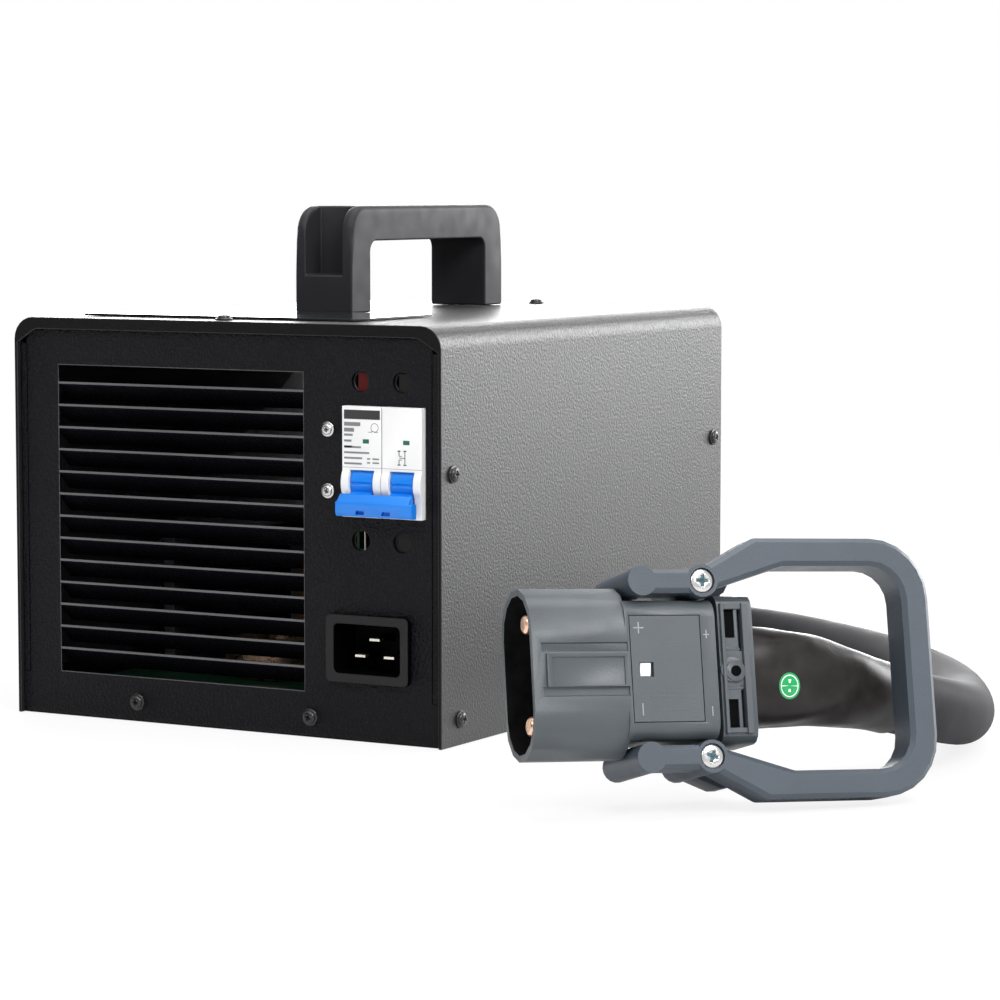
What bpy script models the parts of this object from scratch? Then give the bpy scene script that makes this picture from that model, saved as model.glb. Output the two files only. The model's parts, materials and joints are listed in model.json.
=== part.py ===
"""Portable battery charger with a two-pole battery plug on its output cable.

The origin is the middle of the case's underside. X runs across the front, with the breaker
at +X, -Y is the louvred front panel and +Z is up. All sizes are in metres.
"""

from math import acos, atan2, cos, pi, radians, sin, sqrt, tan

import bmesh
import bpy
import numpy as np
from mathutils import Euler, Matrix, Vector

MM = 0.001
GAP = 0.3 * MM

# Case: a wrap cover over a folded chassis
CASE_WIDTH = 200 * MM
CASE_DEPTH = 242 * MM
CASE_HEIGHT = 161.5 * MM
SHEET = 1.5 * MM
COVER_RADIUS = 9 * MM
COVER_LIP = 4.7 * MM
LIP_CORNER = 6 * MM
BEND_RADIUS = 2 * MM
PANEL_RELIEF = 3 * MM
TRAY_FLANGE = 17.5 * MM
PANEL_RETURN = 12 * MM

# Louvres in the front panel
LOUVRE_INSET = 20.4 * MM
LOUVRE_CLEAR = 62.6 * MM
LOUVRE_LEFT = -CASE_WIDTH / 2 + LOUVRE_INSET
LOUVRE_WIDTH = CASE_WIDTH - LOUVRE_INSET - LOUVRE_CLEAR
LOUVRE_SILL = 18.4 * MM
LOUVRE_PITCH = 8.95 * MM
LOUVRE_BAYS = 14
LOUVRE_DEPTH = 8.5 * MM
LOUVRE_DROP = 6.6 * MM
LOUVRE_SHEET = 1.1 * MM

# Breaker
BREAKER_INSET = 25.9 * MM
BREAKER_X = CASE_WIDTH / 2 - BREAKER_INSET
BREAKER_Z = 109 * MM
POLE_WIDTH = 17.6 * MM
NOSE_HEIGHT = 42.6 * MM
NOSE_PROUD = 0.7 * MM
BREAKER_HEIGHT = 82 * MM
BREAKER_DEPTH = 52 * MM
TOGGLE_DROP = 8.3 * MM
TOGGLE_SETBACK = 8.4 * MM
DRUM_RADIUS = 8.4 * MM
DRUM_WIDTH = 10.4 * MM
BULGE_WALL = 1 * MM
WINDOW_HEIGHT = 14.6 * MM
WINDOW_DROP = 2.2 * MM
TIE_BAR_HEIGHT = 8.5 * MM
TIE_BAR_INSET = 1.2 * MM
TIE_BAR_THICK = 4 * MM
TIE_BAR_REACH = 12.9 * MM
TIE_BAR_DROP = 8.2 * MM
LEVER_THICK = 3 * MM
ACCESS_HOLE = 8.2 * MM
ACCESS_RISE = 30.6 * MM
ACCESS_SPACING = 18.5 * MM
ACCESS_SHIFT = -1.7 * MM
TERMINAL_RECESS = 7.4 * MM
TERMINAL_DEPTH = 12 * MM
BRACKET_SCREW_HEAD = 5.2 * MM
BRACKET_SCREW_SPACING = 23.8 * MM
BRACKET_TAB = 12.5 * MM
BRACKET_SCREW_PLACE = 0.54
BRACKET_HEIGHT = 42 * MM
BRACKET_BEND = 1 * MM

# Mains inlet
INLET_INSET = 32.8 * MM
INLET_X = CASE_WIDTH / 2 - INLET_INSET
INLET_Z = 36.6 * MM
INLET_WIDTH = 37 * MM
INLET_HEIGHT = 26.4 * MM
INLET_PROUD = 3 * MM
INLET_RIM = 3.6 * MM
INLET_DEPTH = 24 * MM
INLET_CAVITY = 17 * MM
INLET_CORNER = 2 * MM
PIN_BLADE = 4.6 * MM
PIN_THICK = 2 * MM
PIN_SPACING = 13 * MM
PIN_RISE = 3.3 * MM
PIN_SETBACK = 6 * MM

# Carry handle
HANDLE_X = -7.3 * MM
HANDLE_LENGTH = 0.519 * CASE_DEPTH
HANDLE_FRONT = -0.1393 * CASE_DEPTH
HANDLE_WIDTH = 27.4 * MM
HANDLE_HEIGHT = 44.2 * MM
HANDLE_LEG = 15.2 * MM
HANDLE_BAR = 14.4 * MM
HANDLE_OUTER_RADIUS = 11 * MM
HANDLE_INNER_RADIUS = 4.5 * MM
HANDLE_EDGE = 2.2 * MM
POCKET_FLOOR = 15.8 * MM
POCKET_WALL = 4.9 * MM
POCKET_BACK = 3.2 * MM

# Display overlay on the top
OVERLAY_INSET = 21 * MM
OVERLAY_CLEAR = 49 * MM
OVERLAY_SETBACK = 18 * MM
OVERLAY_LEFT = -CASE_WIDTH / 2 + OVERLAY_INSET
OVERLAY_WIDTH = CASE_WIDTH - OVERLAY_INSET - OVERLAY_CLEAR
OVERLAY_FRONT = -CASE_DEPTH / 2 + OVERLAY_SETBACK
OVERLAY_DEPTH = 0.248 * CASE_DEPTH
OVERLAY_THICK = 0.9 * MM

# Fasteners
SCREW_HEAD = 6.8 * MM
SCREW_HEIGHT = 2.4 * MM
BASE_SCREW_HEAD = 6.4 * MM
BASE_SCREW_RISE = 8.3 * MM
BASE_SCREW_X = (-0.21 * CASE_WIDTH, 0.199 * CASE_WIDTH)
SIDE_SCREW_INSET = 8.6 * MM
SIDE_SCREW_LOW = 10.4 * MM
SIDE_SCREW_HIGH = 105 * MM
SIDE_LOW_INSET = 14 * MM
TOP_SCREW_X = (-4.2 * MM, 12 * MM)
TOP_FRONT_INSET = 9.2 * MM
TOP_REAR_INSET = 8 * MM

# Fan behind its grille in the rear panel
FAN_INSET = 46 * MM
FAN_X = CASE_WIDTH / 2 - FAN_INSET
FAN_Z = 82 * MM
FAN_SIZE = 80 * MM
FAN_DEPTH = 25 * MM
FAN_BORE = 76 * MM
FAN_HUB = 34 * MM
FAN_BLADES = 7
FAN_TIP_GAP = 1.6 * MM
GRILLE_RINGS = 4
GRILLE_SLOT = 5 * MM
GRILLE_RIB = 3.4 * MM
GRILLE_CORE = 9 * MM
GRILLE_SPOKE = 5 * MM
FAN_SCREW_PITCH = 71.5 * MM
FAN_SCREW_HEAD = 6.2 * MM

# Power board and what stands on it
BOARD_SIDE_CLEAR = 14 * MM
BOARD_END_CLEAR = 37 * MM
BOARD_WIDTH = CASE_WIDTH - 2 * BOARD_SIDE_CLEAR
BOARD_LENGTH = CASE_DEPTH - 2 * BOARD_END_CLEAR
BOARD_EDGE = 2 * MM
BOARD_THICK = 1.6 * MM
BOARD_Y = 2 * MM
STANDOFF_HEIGHT = 8 * MM
STANDOFF_WIDTH = 7 * MM
STANDOFF_INSET = 6 * MM
HEATSINK_FRONT_CLEAR = 42 * MM
HEATSINK_REAR_CLEAR = 6 * MM
HEATSINK_LENGTH = BOARD_LENGTH - HEATSINK_FRONT_CLEAR - HEATSINK_REAR_CLEAR
HEATSINK_HEIGHT = 58 * MM
HEATSINK_DEPTH = 24 * MM
HEATSINK_BASE = 5 * MM
HEATSINK_FIN = 2 * MM
HEATSINK_FINS = 7
CAPACITOR_DIAMETER = 30 * MM
CAPACITOR_HEIGHT = 45 * MM
CAPACITOR_SPACING = 34 * MM
CAPACITOR_CLEAR = 11 * MM
CAPACITOR_X = BOARD_WIDTH / 2 - BOARD_EDGE - HEATSINK_DEPTH - CAPACITOR_CLEAR - CAPACITOR_DIAMETER / 2
BAY_LEFT = -BOARD_WIDTH / 2 + BOARD_EDGE + HEATSINK_DEPTH
BAY_RIGHT = CAPACITOR_X - CAPACITOR_DIAMETER / 2
BAY_X = (BAY_LEFT + BAY_RIGHT) / 2
TRANSFORMER_WIDTH = 0.68 * (BAY_RIGHT - BAY_LEFT)
TRANSFORMER_DEPTH = 36 * MM
TRANSFORMER_HEIGHT = 50 * MM
CORE_LIMB = 0.22 * TRANSFORMER_WIDTH
WINDING_OVERHANG = 0.15 * TRANSFORMER_WIDTH
CHOKE_DIAMETER = 0.55 * (BAY_RIGHT - BAY_LEFT)
CHOKE_THICK = 0.41 * CHOKE_DIAMETER
CHOKE_FRONT = 10 * MM

# Output cable
CABLE_DIAMETER = 24 * MM
GLAND_OFFSET = 66 * MM
GLAND_X = FAN_X - GLAND_OFFSET
GLAND_Z = 58 * MM
GLAND_THREAD = 32 * MM
GLAND_FLATS = 38 * MM
GLAND_HEX = 9 * MM
GLAND_DOME = 24 * MM
GLAND_INSIDE = 12 * MM
LOCKNUT_THICK = 6 * MM
CABLE_STRAIGHT = 7 * MM
CABLE_DESCENT = [
    (162.0, 58.0),
    (172.0, 58.0),
    (189.0, 56.7),
    (206.0, 53.0),
    (222.0, 47.6),
    (238.0, 41.0),
    (256.0, 33.0),
]
CABLE_POINTS = [
    (-15.6, 285.0, 22.6),
    (-26.0, 312.3, 15.6),
    (-42.8, 336.3, 12.8),
    (-72.0, 359.9, 12.3),
    (-111.2, 374.2, 12.3),
    (-152.8, 374.2, 12.3),
    (-192.0, 359.9, 12.3),
    (-223.9, 333.1, 12.3),
    (-244.8, 297.0, 12.3),
    (-252.0, 256.0, 12.3),
    (-244.8, 215.0, 12.3),
    (-223.9, 178.9, 12.3),
    (-192.0, 152.1, 12.3),
    (-152.8, 137.8, 12.3),
    (-132.0, 136.3, 12.3),
    (-90.0, 138.0, 12.3),
    (-45.0, 146.0, 12.3),
    (0.0, 158.0, 12.3),
    (42.0, 168.0, 12.3),
    (82.0, 169.0, 12.3),
    (122.0, 152.5, 12.3),
    (160.0, 126.5, 12.3),
    (192.0, 100.0, 12.3),
    (221.0, 69.0, 12.3),
    (246.0, 34.0, 12.3),
    (264.8, -4.0, 13.0),
    (277.4, -42.0, 17.5),
    (281.2, -76.0, 24.0),
    (276.6, -104.0, 30.6),
]

# Two-pole battery plug, in its own frame: X to the mouth, Y to the label side, Z up
PLUG_PLACE = (191.5 * MM, -225.3 * MM, 48 * MM)
PLUG_YAW = radians(-132.2)
PLUG_PITCH = radians(2)
PLUG_LEAN = radians(15)
SHROUD_LENGTH = 34.8 * MM
SHROUD_HEIGHT = 59.6 * MM
SHROUD_THICK = 32 * MM
SHROUD_WALL = 2.3 * MM
SHROUD_DEPTH = 30 * MM
BODY_LENGTH = 31.9 * MM
BODY_CORNER = 6.3 * MM
BOSS_FRONT = 4.7 * MM
BOSS_LOW = -5.9 * MM
BOSS_HIGH = 5.6 * MM
BOSS_PROUD = 1.1 * MM
BOSS_FRAME = 1.4 * MM
BOSS_RECESS = 0.6 * MM
LABEL_START = 0.7 * MM
LABEL_LENGTH = 25.5 * MM
LABEL_HEIGHT = 36.4 * MM
LABEL_THICK = 1.2 * MM
LABEL_WINDOW = 5 * MM
LABEL_WINDOW_PLACE = (5.4 * MM, -0.3 * MM)
KEY_SIZE = 7 * MM
MAIN_PIN = 7 * MM
MAIN_PIN_SPACING = 35.2 * MM
MAIN_PIN_SETBACK = 2.5 * MM
PILOT_PIN = 3 * MM
CLAMP_START = 1.7 * MM
CLAMP_LENGTH = 12.8 * MM
CLAMP_HEIGHT = 51.6 * MM
CLAMP_THICK = 29 * MM
CLAMP_CORNER = 5 * MM
CLAMP_SLOT = (3.6 * MM, 10.4 * MM)
CLAMP_SLOT_RISE = 15.8 * MM
CLAMP_RING = 8.6 * MM
CLAMP_RING_HOLE = 4.4 * MM
CLAMP_NECK = 4 * MM
SLEEVE_HEIGHT = 36 * MM
SLEEVE_THICK = 25 * MM
SLEEVE_LENGTH = 68 * MM
SLEEVE_WALL = 0.9 * MM
SLEEVE_JOINT = 0.8 * MM

# D-handle on the plug
BOSS_U = -40.8 * MM
BOSS_V = 30.3 * MM
BOSS_RADIUS = 5.2 * MM
SCREW_U = -62.9 * MM
SCREW_BOSS_RADIUS = 5.7 * MM
SCREW_BORE = 9 * MM
SCREW_BORE_DEPTH = 3 * MM
PLUG_SCREW_HEAD = 8 * MM
GRIP_NEAR = 16.6 * MM
GRIP_THICK = 16 * MM
BOSS_LENGTH = 35.5 * MM
ARM_HALF = 4.1 * MM
LOOP_START = -82.9 * MM
LOOP_OUTER = 45.3 * MM
LOOP_INNER = 35.6 * MM
LOOP_INNER_START = -93.5 * MM
LOOP_REAR = -148.1 * MM
GRIP_INNER = -138 * MM
LOOP_CORNER = 21 * MM
LOOP_INNER_CORNER = 12 * MM
LOOP_CHAMFER = 1.6 * MM
FAR_LUG_U = -75 * MM
FAR_LUG_V = 33.5 * MM
FAR_LUG_RADIUS = 6 * MM
FAR_LUG_LENGTH = 13 * MM

ROUND_STEPS = 24
FINE_STEPS = 32

FRONT_Y = -CASE_DEPTH / 2
REAR_Y = CASE_DEPTH / 2
HALF_WIDTH = CASE_WIDTH / 2
PANEL_Y = FRONT_Y + SHEET + GAP
REAR_PANEL_Y = -PANEL_Y
PANEL_INNER = PANEL_Y + SHEET
REAR_INNER = -PANEL_INNER
TRAY_HALF = HALF_WIDTH - SHEET - GAP
PANEL_HALF = TRAY_HALF - PANEL_RELIEF
HINGE_Y = FRONT_Y - NOSE_PROUD + TOGGLE_SETBACK
HINGE_Z = BREAKER_Z - TOGGLE_DROP
FAN_FRONT = REAR_INNER - GAP - FAN_DEPTH


class Finish:
    """Base colour, roughness and metallic value of one sub-part."""

    def __init__(self, colour, roughness, metallic=0.0):
        self.colour = colour
        self.roughness = roughness
        self.metallic = metallic


POWDER_BLACK = Finish((0.02, 0.02, 0.022), 0.45)
MOULDED_GREY = Finish((0.045, 0.046, 0.05), 0.5)
PLUG_GREY = Finish((0.11, 0.13, 0.15), 0.5)
HANDLE_GREY = Finish((0.085, 0.10, 0.125), 0.55)
GLOSS_BLACK = Finish((0.01, 0.012, 0.014), 0.12)
BREAKER_WHITE = Finish((0.86, 0.86, 0.85), 0.35)
TOGGLE_BLUE = Finish((0.03, 0.30, 0.85), 0.3)
BLACK_PLASTIC = Finish((0.012, 0.012, 0.013), 0.35)
BRIGHT_METAL = Finish((0.78, 0.77, 0.74), 0.25, 1.0)
BLACK_SCREW = Finish((0.02, 0.02, 0.02), 0.3, 0.6)
ZINC = Finish((0.75, 0.77, 0.8), 0.25, 1.0)
COPPER = Finish((0.82, 0.55, 0.40), 0.3, 1.0)
ALUMINIUM = Finish((0.72, 0.73, 0.74), 0.35, 1.0)
BOARD_GREEN = Finish((0.02, 0.16, 0.07), 0.4)
FERRITE = Finish((0.05, 0.05, 0.055), 0.6)
WINDING_AMBER = Finish((0.55, 0.33, 0.08), 0.45)
CAPACITOR_BLUE = Finish((0.03, 0.06, 0.25), 0.3)
CABLE_GREY = Finish((0.09, 0.09, 0.10), 0.45)
SLEEVE_BLACK = Finish((0.03, 0.027, 0.027), 0.3)
KEY_WHITE = Finish((0.85, 0.85, 0.83), 0.4)


def clear_scene():
    """Remove whatever the start-up scene holds."""
    for item in list(bpy.data.objects):
        bpy.data.objects.remove(item, do_unlink=True)


def principled(name, finish):
    """Make the material of one sub-part."""
    material = bpy.data.materials.new(name + "_finish")
    material.use_nodes = True
    shader = material.node_tree.nodes["Principled BSDF"]
    shader.inputs["Base Color"].default_value = (*finish.colour, 1.0)
    shader.inputs["Roughness"].default_value = finish.roughness
    shader.inputs["Metallic"].default_value = finish.metallic
    return material


def place(name, shape, finish=None, parent=None, smooth=False):
    """Link a bmesh as a named object, with its material when it has one."""
    bmesh.ops.recalc_face_normals(shape, faces=shape.faces)
    mesh = bpy.data.meshes.new(name)
    shape.to_mesh(mesh)
    shape.free()
    if smooth:
        mesh.shade_smooth()
        mesh.set_sharp_from_angle(angle=radians(35))
    thing = bpy.data.objects.new(name, mesh)
    bpy.context.scene.collection.objects.link(thing)
    if finish is not None:
        mesh.materials.append(principled(name, finish))
    thing.parent = parent
    return thing


def guide(name, shape, parent=None):
    """Link a bmesh as a hidden cutter or joining shape."""
    thing = place(name, shape, parent=parent)
    thing.hide_render = True
    thing.display_type = "WIRE"
    return thing


def combine(target, tool, operation="DIFFERENCE"):
    """Cut a tool from a target, or join it on."""
    step = target.modifiers.new(tool.name, "BOOLEAN")
    step.operation = operation
    step.solver = "EXACT"
    step.object = tool
    return step


def soften(target, width, segments=1, angle=40):
    """Bevel the sharp edges of a target."""
    step = target.modifiers.new("edges", "BEVEL")
    step.width = width
    step.segments = segments
    step.limit_method = "ANGLE"
    step.angle_limit = radians(angle)
    return step


def spread(axis, first, second, along):
    """Turn an outline's two values and a place along an axis into a point."""
    if axis == "X":
        return Vector((along, first, second))
    if axis == "Y":
        return Vector((first, along, second))
    return Vector((first, second, along))


def add_prism(shape, outline, axis, start, end):
    """Add an outline pushed along an axis to a bmesh."""
    near = [shape.verts.new(spread(axis, a, b, start)) for a, b in outline]
    far = [shape.verts.new(spread(axis, a, b, end)) for a, b in outline]
    shape.faces.new(near)
    shape.faces.new(list(reversed(far)))
    count = len(outline)
    for index in range(count):
        after = (index + 1) % count
        shape.faces.new((near[index], far[index], far[after], near[after]))


def prism(outline, axis, start, end):
    """Make a bmesh of an outline pushed along an axis."""
    shape = bmesh.new()
    add_prism(shape, outline, axis, start, end)
    return shape


def rectangle(left, right, low, high):
    """Give the outline of a rectangle."""
    return [(left, low), (right, low), (right, high), (left, high)]


def add_block(shape, low, high):
    """Add a block between two corners to a bmesh."""
    add_prism(shape, rectangle(low[0], high[0], low[1], high[1]), "Z", low[2], high[2])


def block(low, high):
    """Make a bmesh of a block between two corners."""
    shape = bmesh.new()
    add_block(shape, low, high)
    return shape


def circle(centre, radius, steps=ROUND_STEPS, turn=0.0):
    """Give a circle's points, with an optional first angle."""
    angles = [turn + 2 * pi * k / steps for k in range(steps)]
    return [(centre[0] + radius * cos(a), centre[1] + radius * sin(a)) for a in angles]


def rounded(width, height, radius, steps=4, centre=(0.0, 0.0)):
    """Give a rectangle with round corners."""
    points = []
    corners = ((1, 1, 0.0), (-1, 1, pi / 2), (-1, -1, pi), (1, -1, 3 * pi / 2))
    for side, rise, start in corners:
        middle = (centre[0] + side * (width / 2 - radius), centre[1] + rise * (height / 2 - radius))
        for k in range(steps + 1):
            angle = start + (pi / 2) * k / steps
            points.append((middle[0] + radius * cos(angle), middle[1] + radius * sin(angle)))
    return points


def fillet(points, radii, steps=4):
    """Round the inner points of an open path, one radius for each."""
    path = [Vector(points[0])]
    for index in range(1, len(points) - 1):
        corner = Vector(points[index])
        back = (Vector(points[index - 1]) - corner).normalized()
        ahead = (Vector(points[index + 1]) - corner).normalized()
        radius = radii[index - 1]
        half = acos(max(-1.0, min(1.0, back.dot(ahead)))) / 2
        reach = radius / tan(half)
        middle = corner + (back + ahead).normalized() * (radius / sin(half))
        first = corner + back * reach - middle
        last = corner + ahead * reach - middle
        start = atan2(first.y, first.x)
        sweep = (atan2(last.y, last.x) - start + pi) % (2 * pi) - pi
        for k in range(steps + 1):
            angle = start + sweep * k / steps
            path.append(middle + Vector((cos(angle), sin(angle))) * radius)
    path.append(Vector(points[-1]))
    return path


def strip(path, thickness):
    """Give the closed outline of a folded sheet from the path of its middle."""
    left, right = [], []
    for index, point in enumerate(path):
        before = path[max(index - 1, 0)]
        after = path[min(index + 1, len(path) - 1)]
        into = (point - before).normalized() if index else (after - point).normalized()
        out = (after - point).normalized() if index < len(path) - 1 else into
        along = (into + out).normalized()
        normal = Vector((-along.y, along.x)) * (thickness / 2 / max(along.dot(into), 0.5))
        left.append(tuple(point + normal))
        right.append(tuple(point - normal))
    return left + list(reversed(right))


def lathe(profile, steps, axis, centre):
    """Spin a profile of (radius, place) pairs about an axis; both ends close on it or are capped."""
    shape = bmesh.new()
    rings = []
    for radius, along in profile:
        if radius == 0:
            rings.append([shape.verts.new(spread(axis, centre[0], centre[1], along))])
        else:
            rings.append(
                [shape.verts.new(spread(axis, a, b, along)) for a, b in circle(centre, radius, steps)]
            )
    for first, second in zip(rings, rings[1:]):
        for k in range(steps):
            after = (k + 1) % steps
            if len(first) == 1:
                shape.faces.new((first[0], second[k], second[after]))
            elif len(second) == 1:
                shape.faces.new((first[k], second[0], first[after]))
            else:
                shape.faces.new((first[k], second[k], second[after], first[after]))
    for ring in (rings[0], rings[-1]):
        if len(ring) > 1:
            shape.faces.new(ring)
    return shape


def pan_head(diameter, height, face, outward):
    """Give the profile of a pan head that stands on a face, as (radius, place) pairs."""
    radius = diameter / 2
    base = face + outward * GAP
    return [
        (radius, base),
        (radius, base + outward * height * 0.45),
        (radius * 0.82, base + outward * height * 0.85),
        (radius * 0.45, base + outward * height),
        (0, base + outward * height),
    ]


def screw(name, axis, centre, face, outward, diameter, finish, parent=None, height=SCREW_HEIGHT):
    """Make a pan-head screw on a face."""
    shape = lathe(pan_head(diameter, height, face, outward), 16, axis, centre)
    return place(name, shape, finish, parent, smooth=True)


def make_cover():
    """Make the wrap cover: top and sides in one folded sheet, with a lip at each end."""
    middle = HALF_WIDTH - SHEET / 2
    crown = CASE_HEIGHT - SHEET / 2
    path = fillet(
        [(middle, GAP), (middle, crown), (-middle, crown), (-middle, GAP)],
        [COVER_RADIUS - SHEET / 2] * 2,
        6,
    )
    cover = place("cover", prism(strip(path, SHEET), "Y", FRONT_Y, REAR_Y), POWDER_BLACK, smooth=True)
    inside = HALF_WIDTH - SHEET / 2
    top = CASE_HEIGHT - SHEET / 2
    low = CASE_HEIGHT - COVER_LIP - LIP_CORNER
    upper = fillet([(inside, low), (inside, top), (-inside, top), (-inside, low)], [COVER_RADIUS] * 2, 6)
    lower_z = CASE_HEIGHT - COVER_LIP
    step = inside - LIP_CORNER * 1.6
    lower = fillet([(-inside, low), (-step, lower_z), (step, lower_z), (inside, low)], [LIP_CORNER] * 2, 4)
    outline = [tuple(p) for p in upper] + [tuple(p) for p in lower[1:-1]]
    for name, start, end in (
        ("front_lip", FRONT_Y, FRONT_Y + SHEET),
        ("rear_lip", REAR_Y - SHEET, REAR_Y),
    ):
        combine(cover, guide(name, prism(outline, "Y", start, end)), "UNION")
    return cover


def louvre_blades():
    """Make the blades that fold inwards from the panel, one below each open bay but the last."""
    shape = bmesh.new()
    left = LOUVRE_LEFT - SHEET / 2
    right = LOUVRE_LEFT + LOUVRE_WIDTH + SHEET / 2
    half = LOUVRE_SHEET / 2
    for row in range(1, LOUVRE_BAYS):
        lip = LOUVRE_SILL + row * LOUVRE_PITCH
        path = fillet(
            [
                (PANEL_Y + half, lip + half),
                (PANEL_Y + LOUVRE_SHEET * 1.5, lip - half * 0.4),
                (PANEL_Y + LOUVRE_DEPTH, lip - LOUVRE_DROP),
            ],
            [LOUVRE_SHEET],
            2,
        )
        add_prism(shape, strip(path, LOUVRE_SHEET), "X", left, right)
    return shape


def grille_slots():
    """Make the arc-shaped cutters of the fan grille, in rings broken by four spokes."""
    shape = bmesh.new()
    start, end = REAR_INNER - SHEET, REAR_PANEL_Y + SHEET
    for ring in range(GRILLE_RINGS):
        inner = GRILLE_CORE + ring * (GRILLE_SLOT + GRILLE_RIB)
        outer = inner + GRILLE_SLOT
        for quarter in range(4):
            blocked_in = GRILLE_SPOKE / 2 / inner
            blocked_out = GRILLE_SPOKE / 2 / outer
            turn = pi / 4 + quarter * pi / 2
            steps = 4 + ring
            points = []
            for k in range(steps + 1):
                angle = turn + blocked_in + (pi / 2 - 2 * blocked_in) * k / steps
                points.append((FAN_X + inner * cos(angle), FAN_Z + inner * sin(angle)))
            for k in range(steps, -1, -1):
                angle = turn + blocked_out + (pi / 2 - 2 * blocked_out) * k / steps
                points.append((FAN_X + outer * cos(angle), FAN_Z + outer * sin(angle)))
            add_prism(shape, points, "Y", start, end)
    return shape


def make_chassis():
    """Make the chassis: floor, front panel and rear panel folded from one sheet, with side flanges."""
    front = PANEL_Y + SHEET / 2
    crown = CASE_HEIGHT - SHEET - GAP - SHEET / 2
    floor = SHEET / 2
    points = [
        (front + PANEL_RETURN, crown),
        (front, crown),
        (front, floor),
        (-front, floor),
        (-front, crown),
        (-front - PANEL_RETURN, crown),
    ]
    path = fillet(points, [BEND_RADIUS] * 4, 3)
    shape = prism(strip(path, SHEET), "X", -TRAY_HALF, TRAY_HALF)
    chassis = place("chassis", shape, POWDER_BLACK, smooth=True)
    reliefs = bmesh.new()
    for side in (-1, 1):
        edges = sorted((side * PANEL_HALF, side * (TRAY_HALF + SHEET)))
        add_prism(reliefs, rectangle(edges[0], edges[1], TRAY_FLANGE, CASE_HEIGHT), "Y", FRONT_Y, REAR_Y)
    corner = COVER_RADIUS - SHEET + GAP
    combine(chassis, guide("panel_relief", reliefs))
    flanges = bmesh.new()
    for side in (-1, 1):
        edges = sorted((side * TRAY_HALF, side * (TRAY_HALF - SHEET)))
        add_block(flanges, (edges[0], front, floor / 2), (edges[1], -front, TRAY_FLANGE))
    combine(chassis, guide("tray_flanges", flanges), "UNION")
    openings = bmesh.new()
    through = (PANEL_Y - SHEET, PANEL_INNER + SHEET)
    top = LOUVRE_SILL + LOUVRE_BAYS * LOUVRE_PITCH - LOUVRE_SHEET
    window = rectangle(LOUVRE_LEFT, LOUVRE_LEFT + LOUVRE_WIDTH, LOUVRE_SILL, top)
    add_prism(openings, window, "Y", *through)
    half = POLE_WIDTH + GAP * 2
    tall = NOSE_HEIGHT / 2 + GAP
    nose = rectangle(BREAKER_X - half, BREAKER_X + half, BREAKER_Z - tall, BREAKER_Z + tall)
    add_prism(openings, nose, "Y", *through)
    inlet = rounded(
        INLET_WIDTH - INLET_RIM + 2 * GAP,
        INLET_HEIGHT - INLET_RIM + 2 * GAP,
        INLET_CORNER,
        2,
        (INLET_X, INLET_Z),
    )
    add_prism(openings, inlet, "Y", *through)
    for side in (-1, 1):
        for rise in (-1, 1):
            centre = (BREAKER_X + ACCESS_SHIFT + side * ACCESS_SPACING / 2, BREAKER_Z + rise * ACCESS_RISE)
            add_prism(openings, circle(centre, ACCESS_HOLE / 2, 16), "Y", *through)
    bore = circle((GLAND_X, GLAND_Z), GLAND_THREAD / 2 + GAP, ROUND_STEPS)
    add_prism(openings, bore, "Y", REAR_INNER - SHEET, REAR_PANEL_Y + SHEET)
    combine(chassis, guide("panel_openings", openings))
    combine(chassis, guide("grille_slots", grille_slots()))
    combine(chassis, guide("louvre_blades", louvre_blades()), "UNION")
    corners = bmesh.new()
    for side in (-1, 1):
        edge = side * PANEL_HALF
        outline = [
            (edge - side * corner, CASE_HEIGHT),
            (edge + side * SHEET, CASE_HEIGHT),
            (edge + side * SHEET, CASE_HEIGHT - corner - SHEET),
        ]
        add_prism(corners, outline, "Y", FRONT_Y, REAR_Y)
    combine(chassis, guide("panel_corners", corners))
    return chassis


def make_overlay():
    """Make the thin display overlay that lies on the top, in front of the handle."""
    outline = rounded(
        OVERLAY_WIDTH,
        OVERLAY_DEPTH,
        2 * MM,
        3,
        (OVERLAY_LEFT + OVERLAY_WIDTH / 2, OVERLAY_FRONT + OVERLAY_DEPTH / 2),
    )
    low = CASE_HEIGHT + GAP
    return place("display_overlay", prism(outline, "Z", low, low + OVERLAY_THICK), GLOSS_BLACK)


def make_handle():
    """Make the carry handle: two legs and a bar in one moulding, with a pocket in the front leg."""
    low = CASE_HEIGHT + GAP
    high = CASE_HEIGHT + HANDLE_HEIGHT
    rear = HANDLE_FRONT + HANDLE_LENGTH
    outer = fillet(
        [(HANDLE_FRONT, low), (HANDLE_FRONT, high), (rear, high), (rear, low)],
        [HANDLE_OUTER_RADIUS] * 2,
        7,
    )
    under = high - HANDLE_BAR
    inner = fillet(
        [
            (rear - HANDLE_LEG, low),
            (rear - HANDLE_LEG, under),
            (HANDLE_FRONT + HANDLE_LEG, under),
            (HANDLE_FRONT + HANDLE_LEG, low),
        ],
        [HANDLE_INNER_RADIUS] * 2,
        5,
    )
    outline = [tuple(p) for p in outer] + [tuple(p) for p in inner]
    left = HANDLE_X - HANDLE_WIDTH / 2
    right = HANDLE_X + HANDLE_WIDTH / 2
    handle = place("carry_handle", prism(outline, "X", left, right), MOULDED_GREY, smooth=True)
    edges = soften(handle, HANDLE_EDGE, 3, 60)
    edges.limit_method = "WEIGHT"
    mark_crown_edges(handle, (left, right), high - HANDLE_OUTER_RADIUS * 1.05, under)
    pocket = block(
        (left + POCKET_WALL, HANDLE_FRONT - SHEET, CASE_HEIGHT + POCKET_FLOOR),
        (right - POCKET_WALL, HANDLE_FRONT + HANDLE_LEG - POCKET_BACK, high + SHEET),
    )
    combine(handle, guide("handle_pocket", pocket))
    return handle


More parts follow.
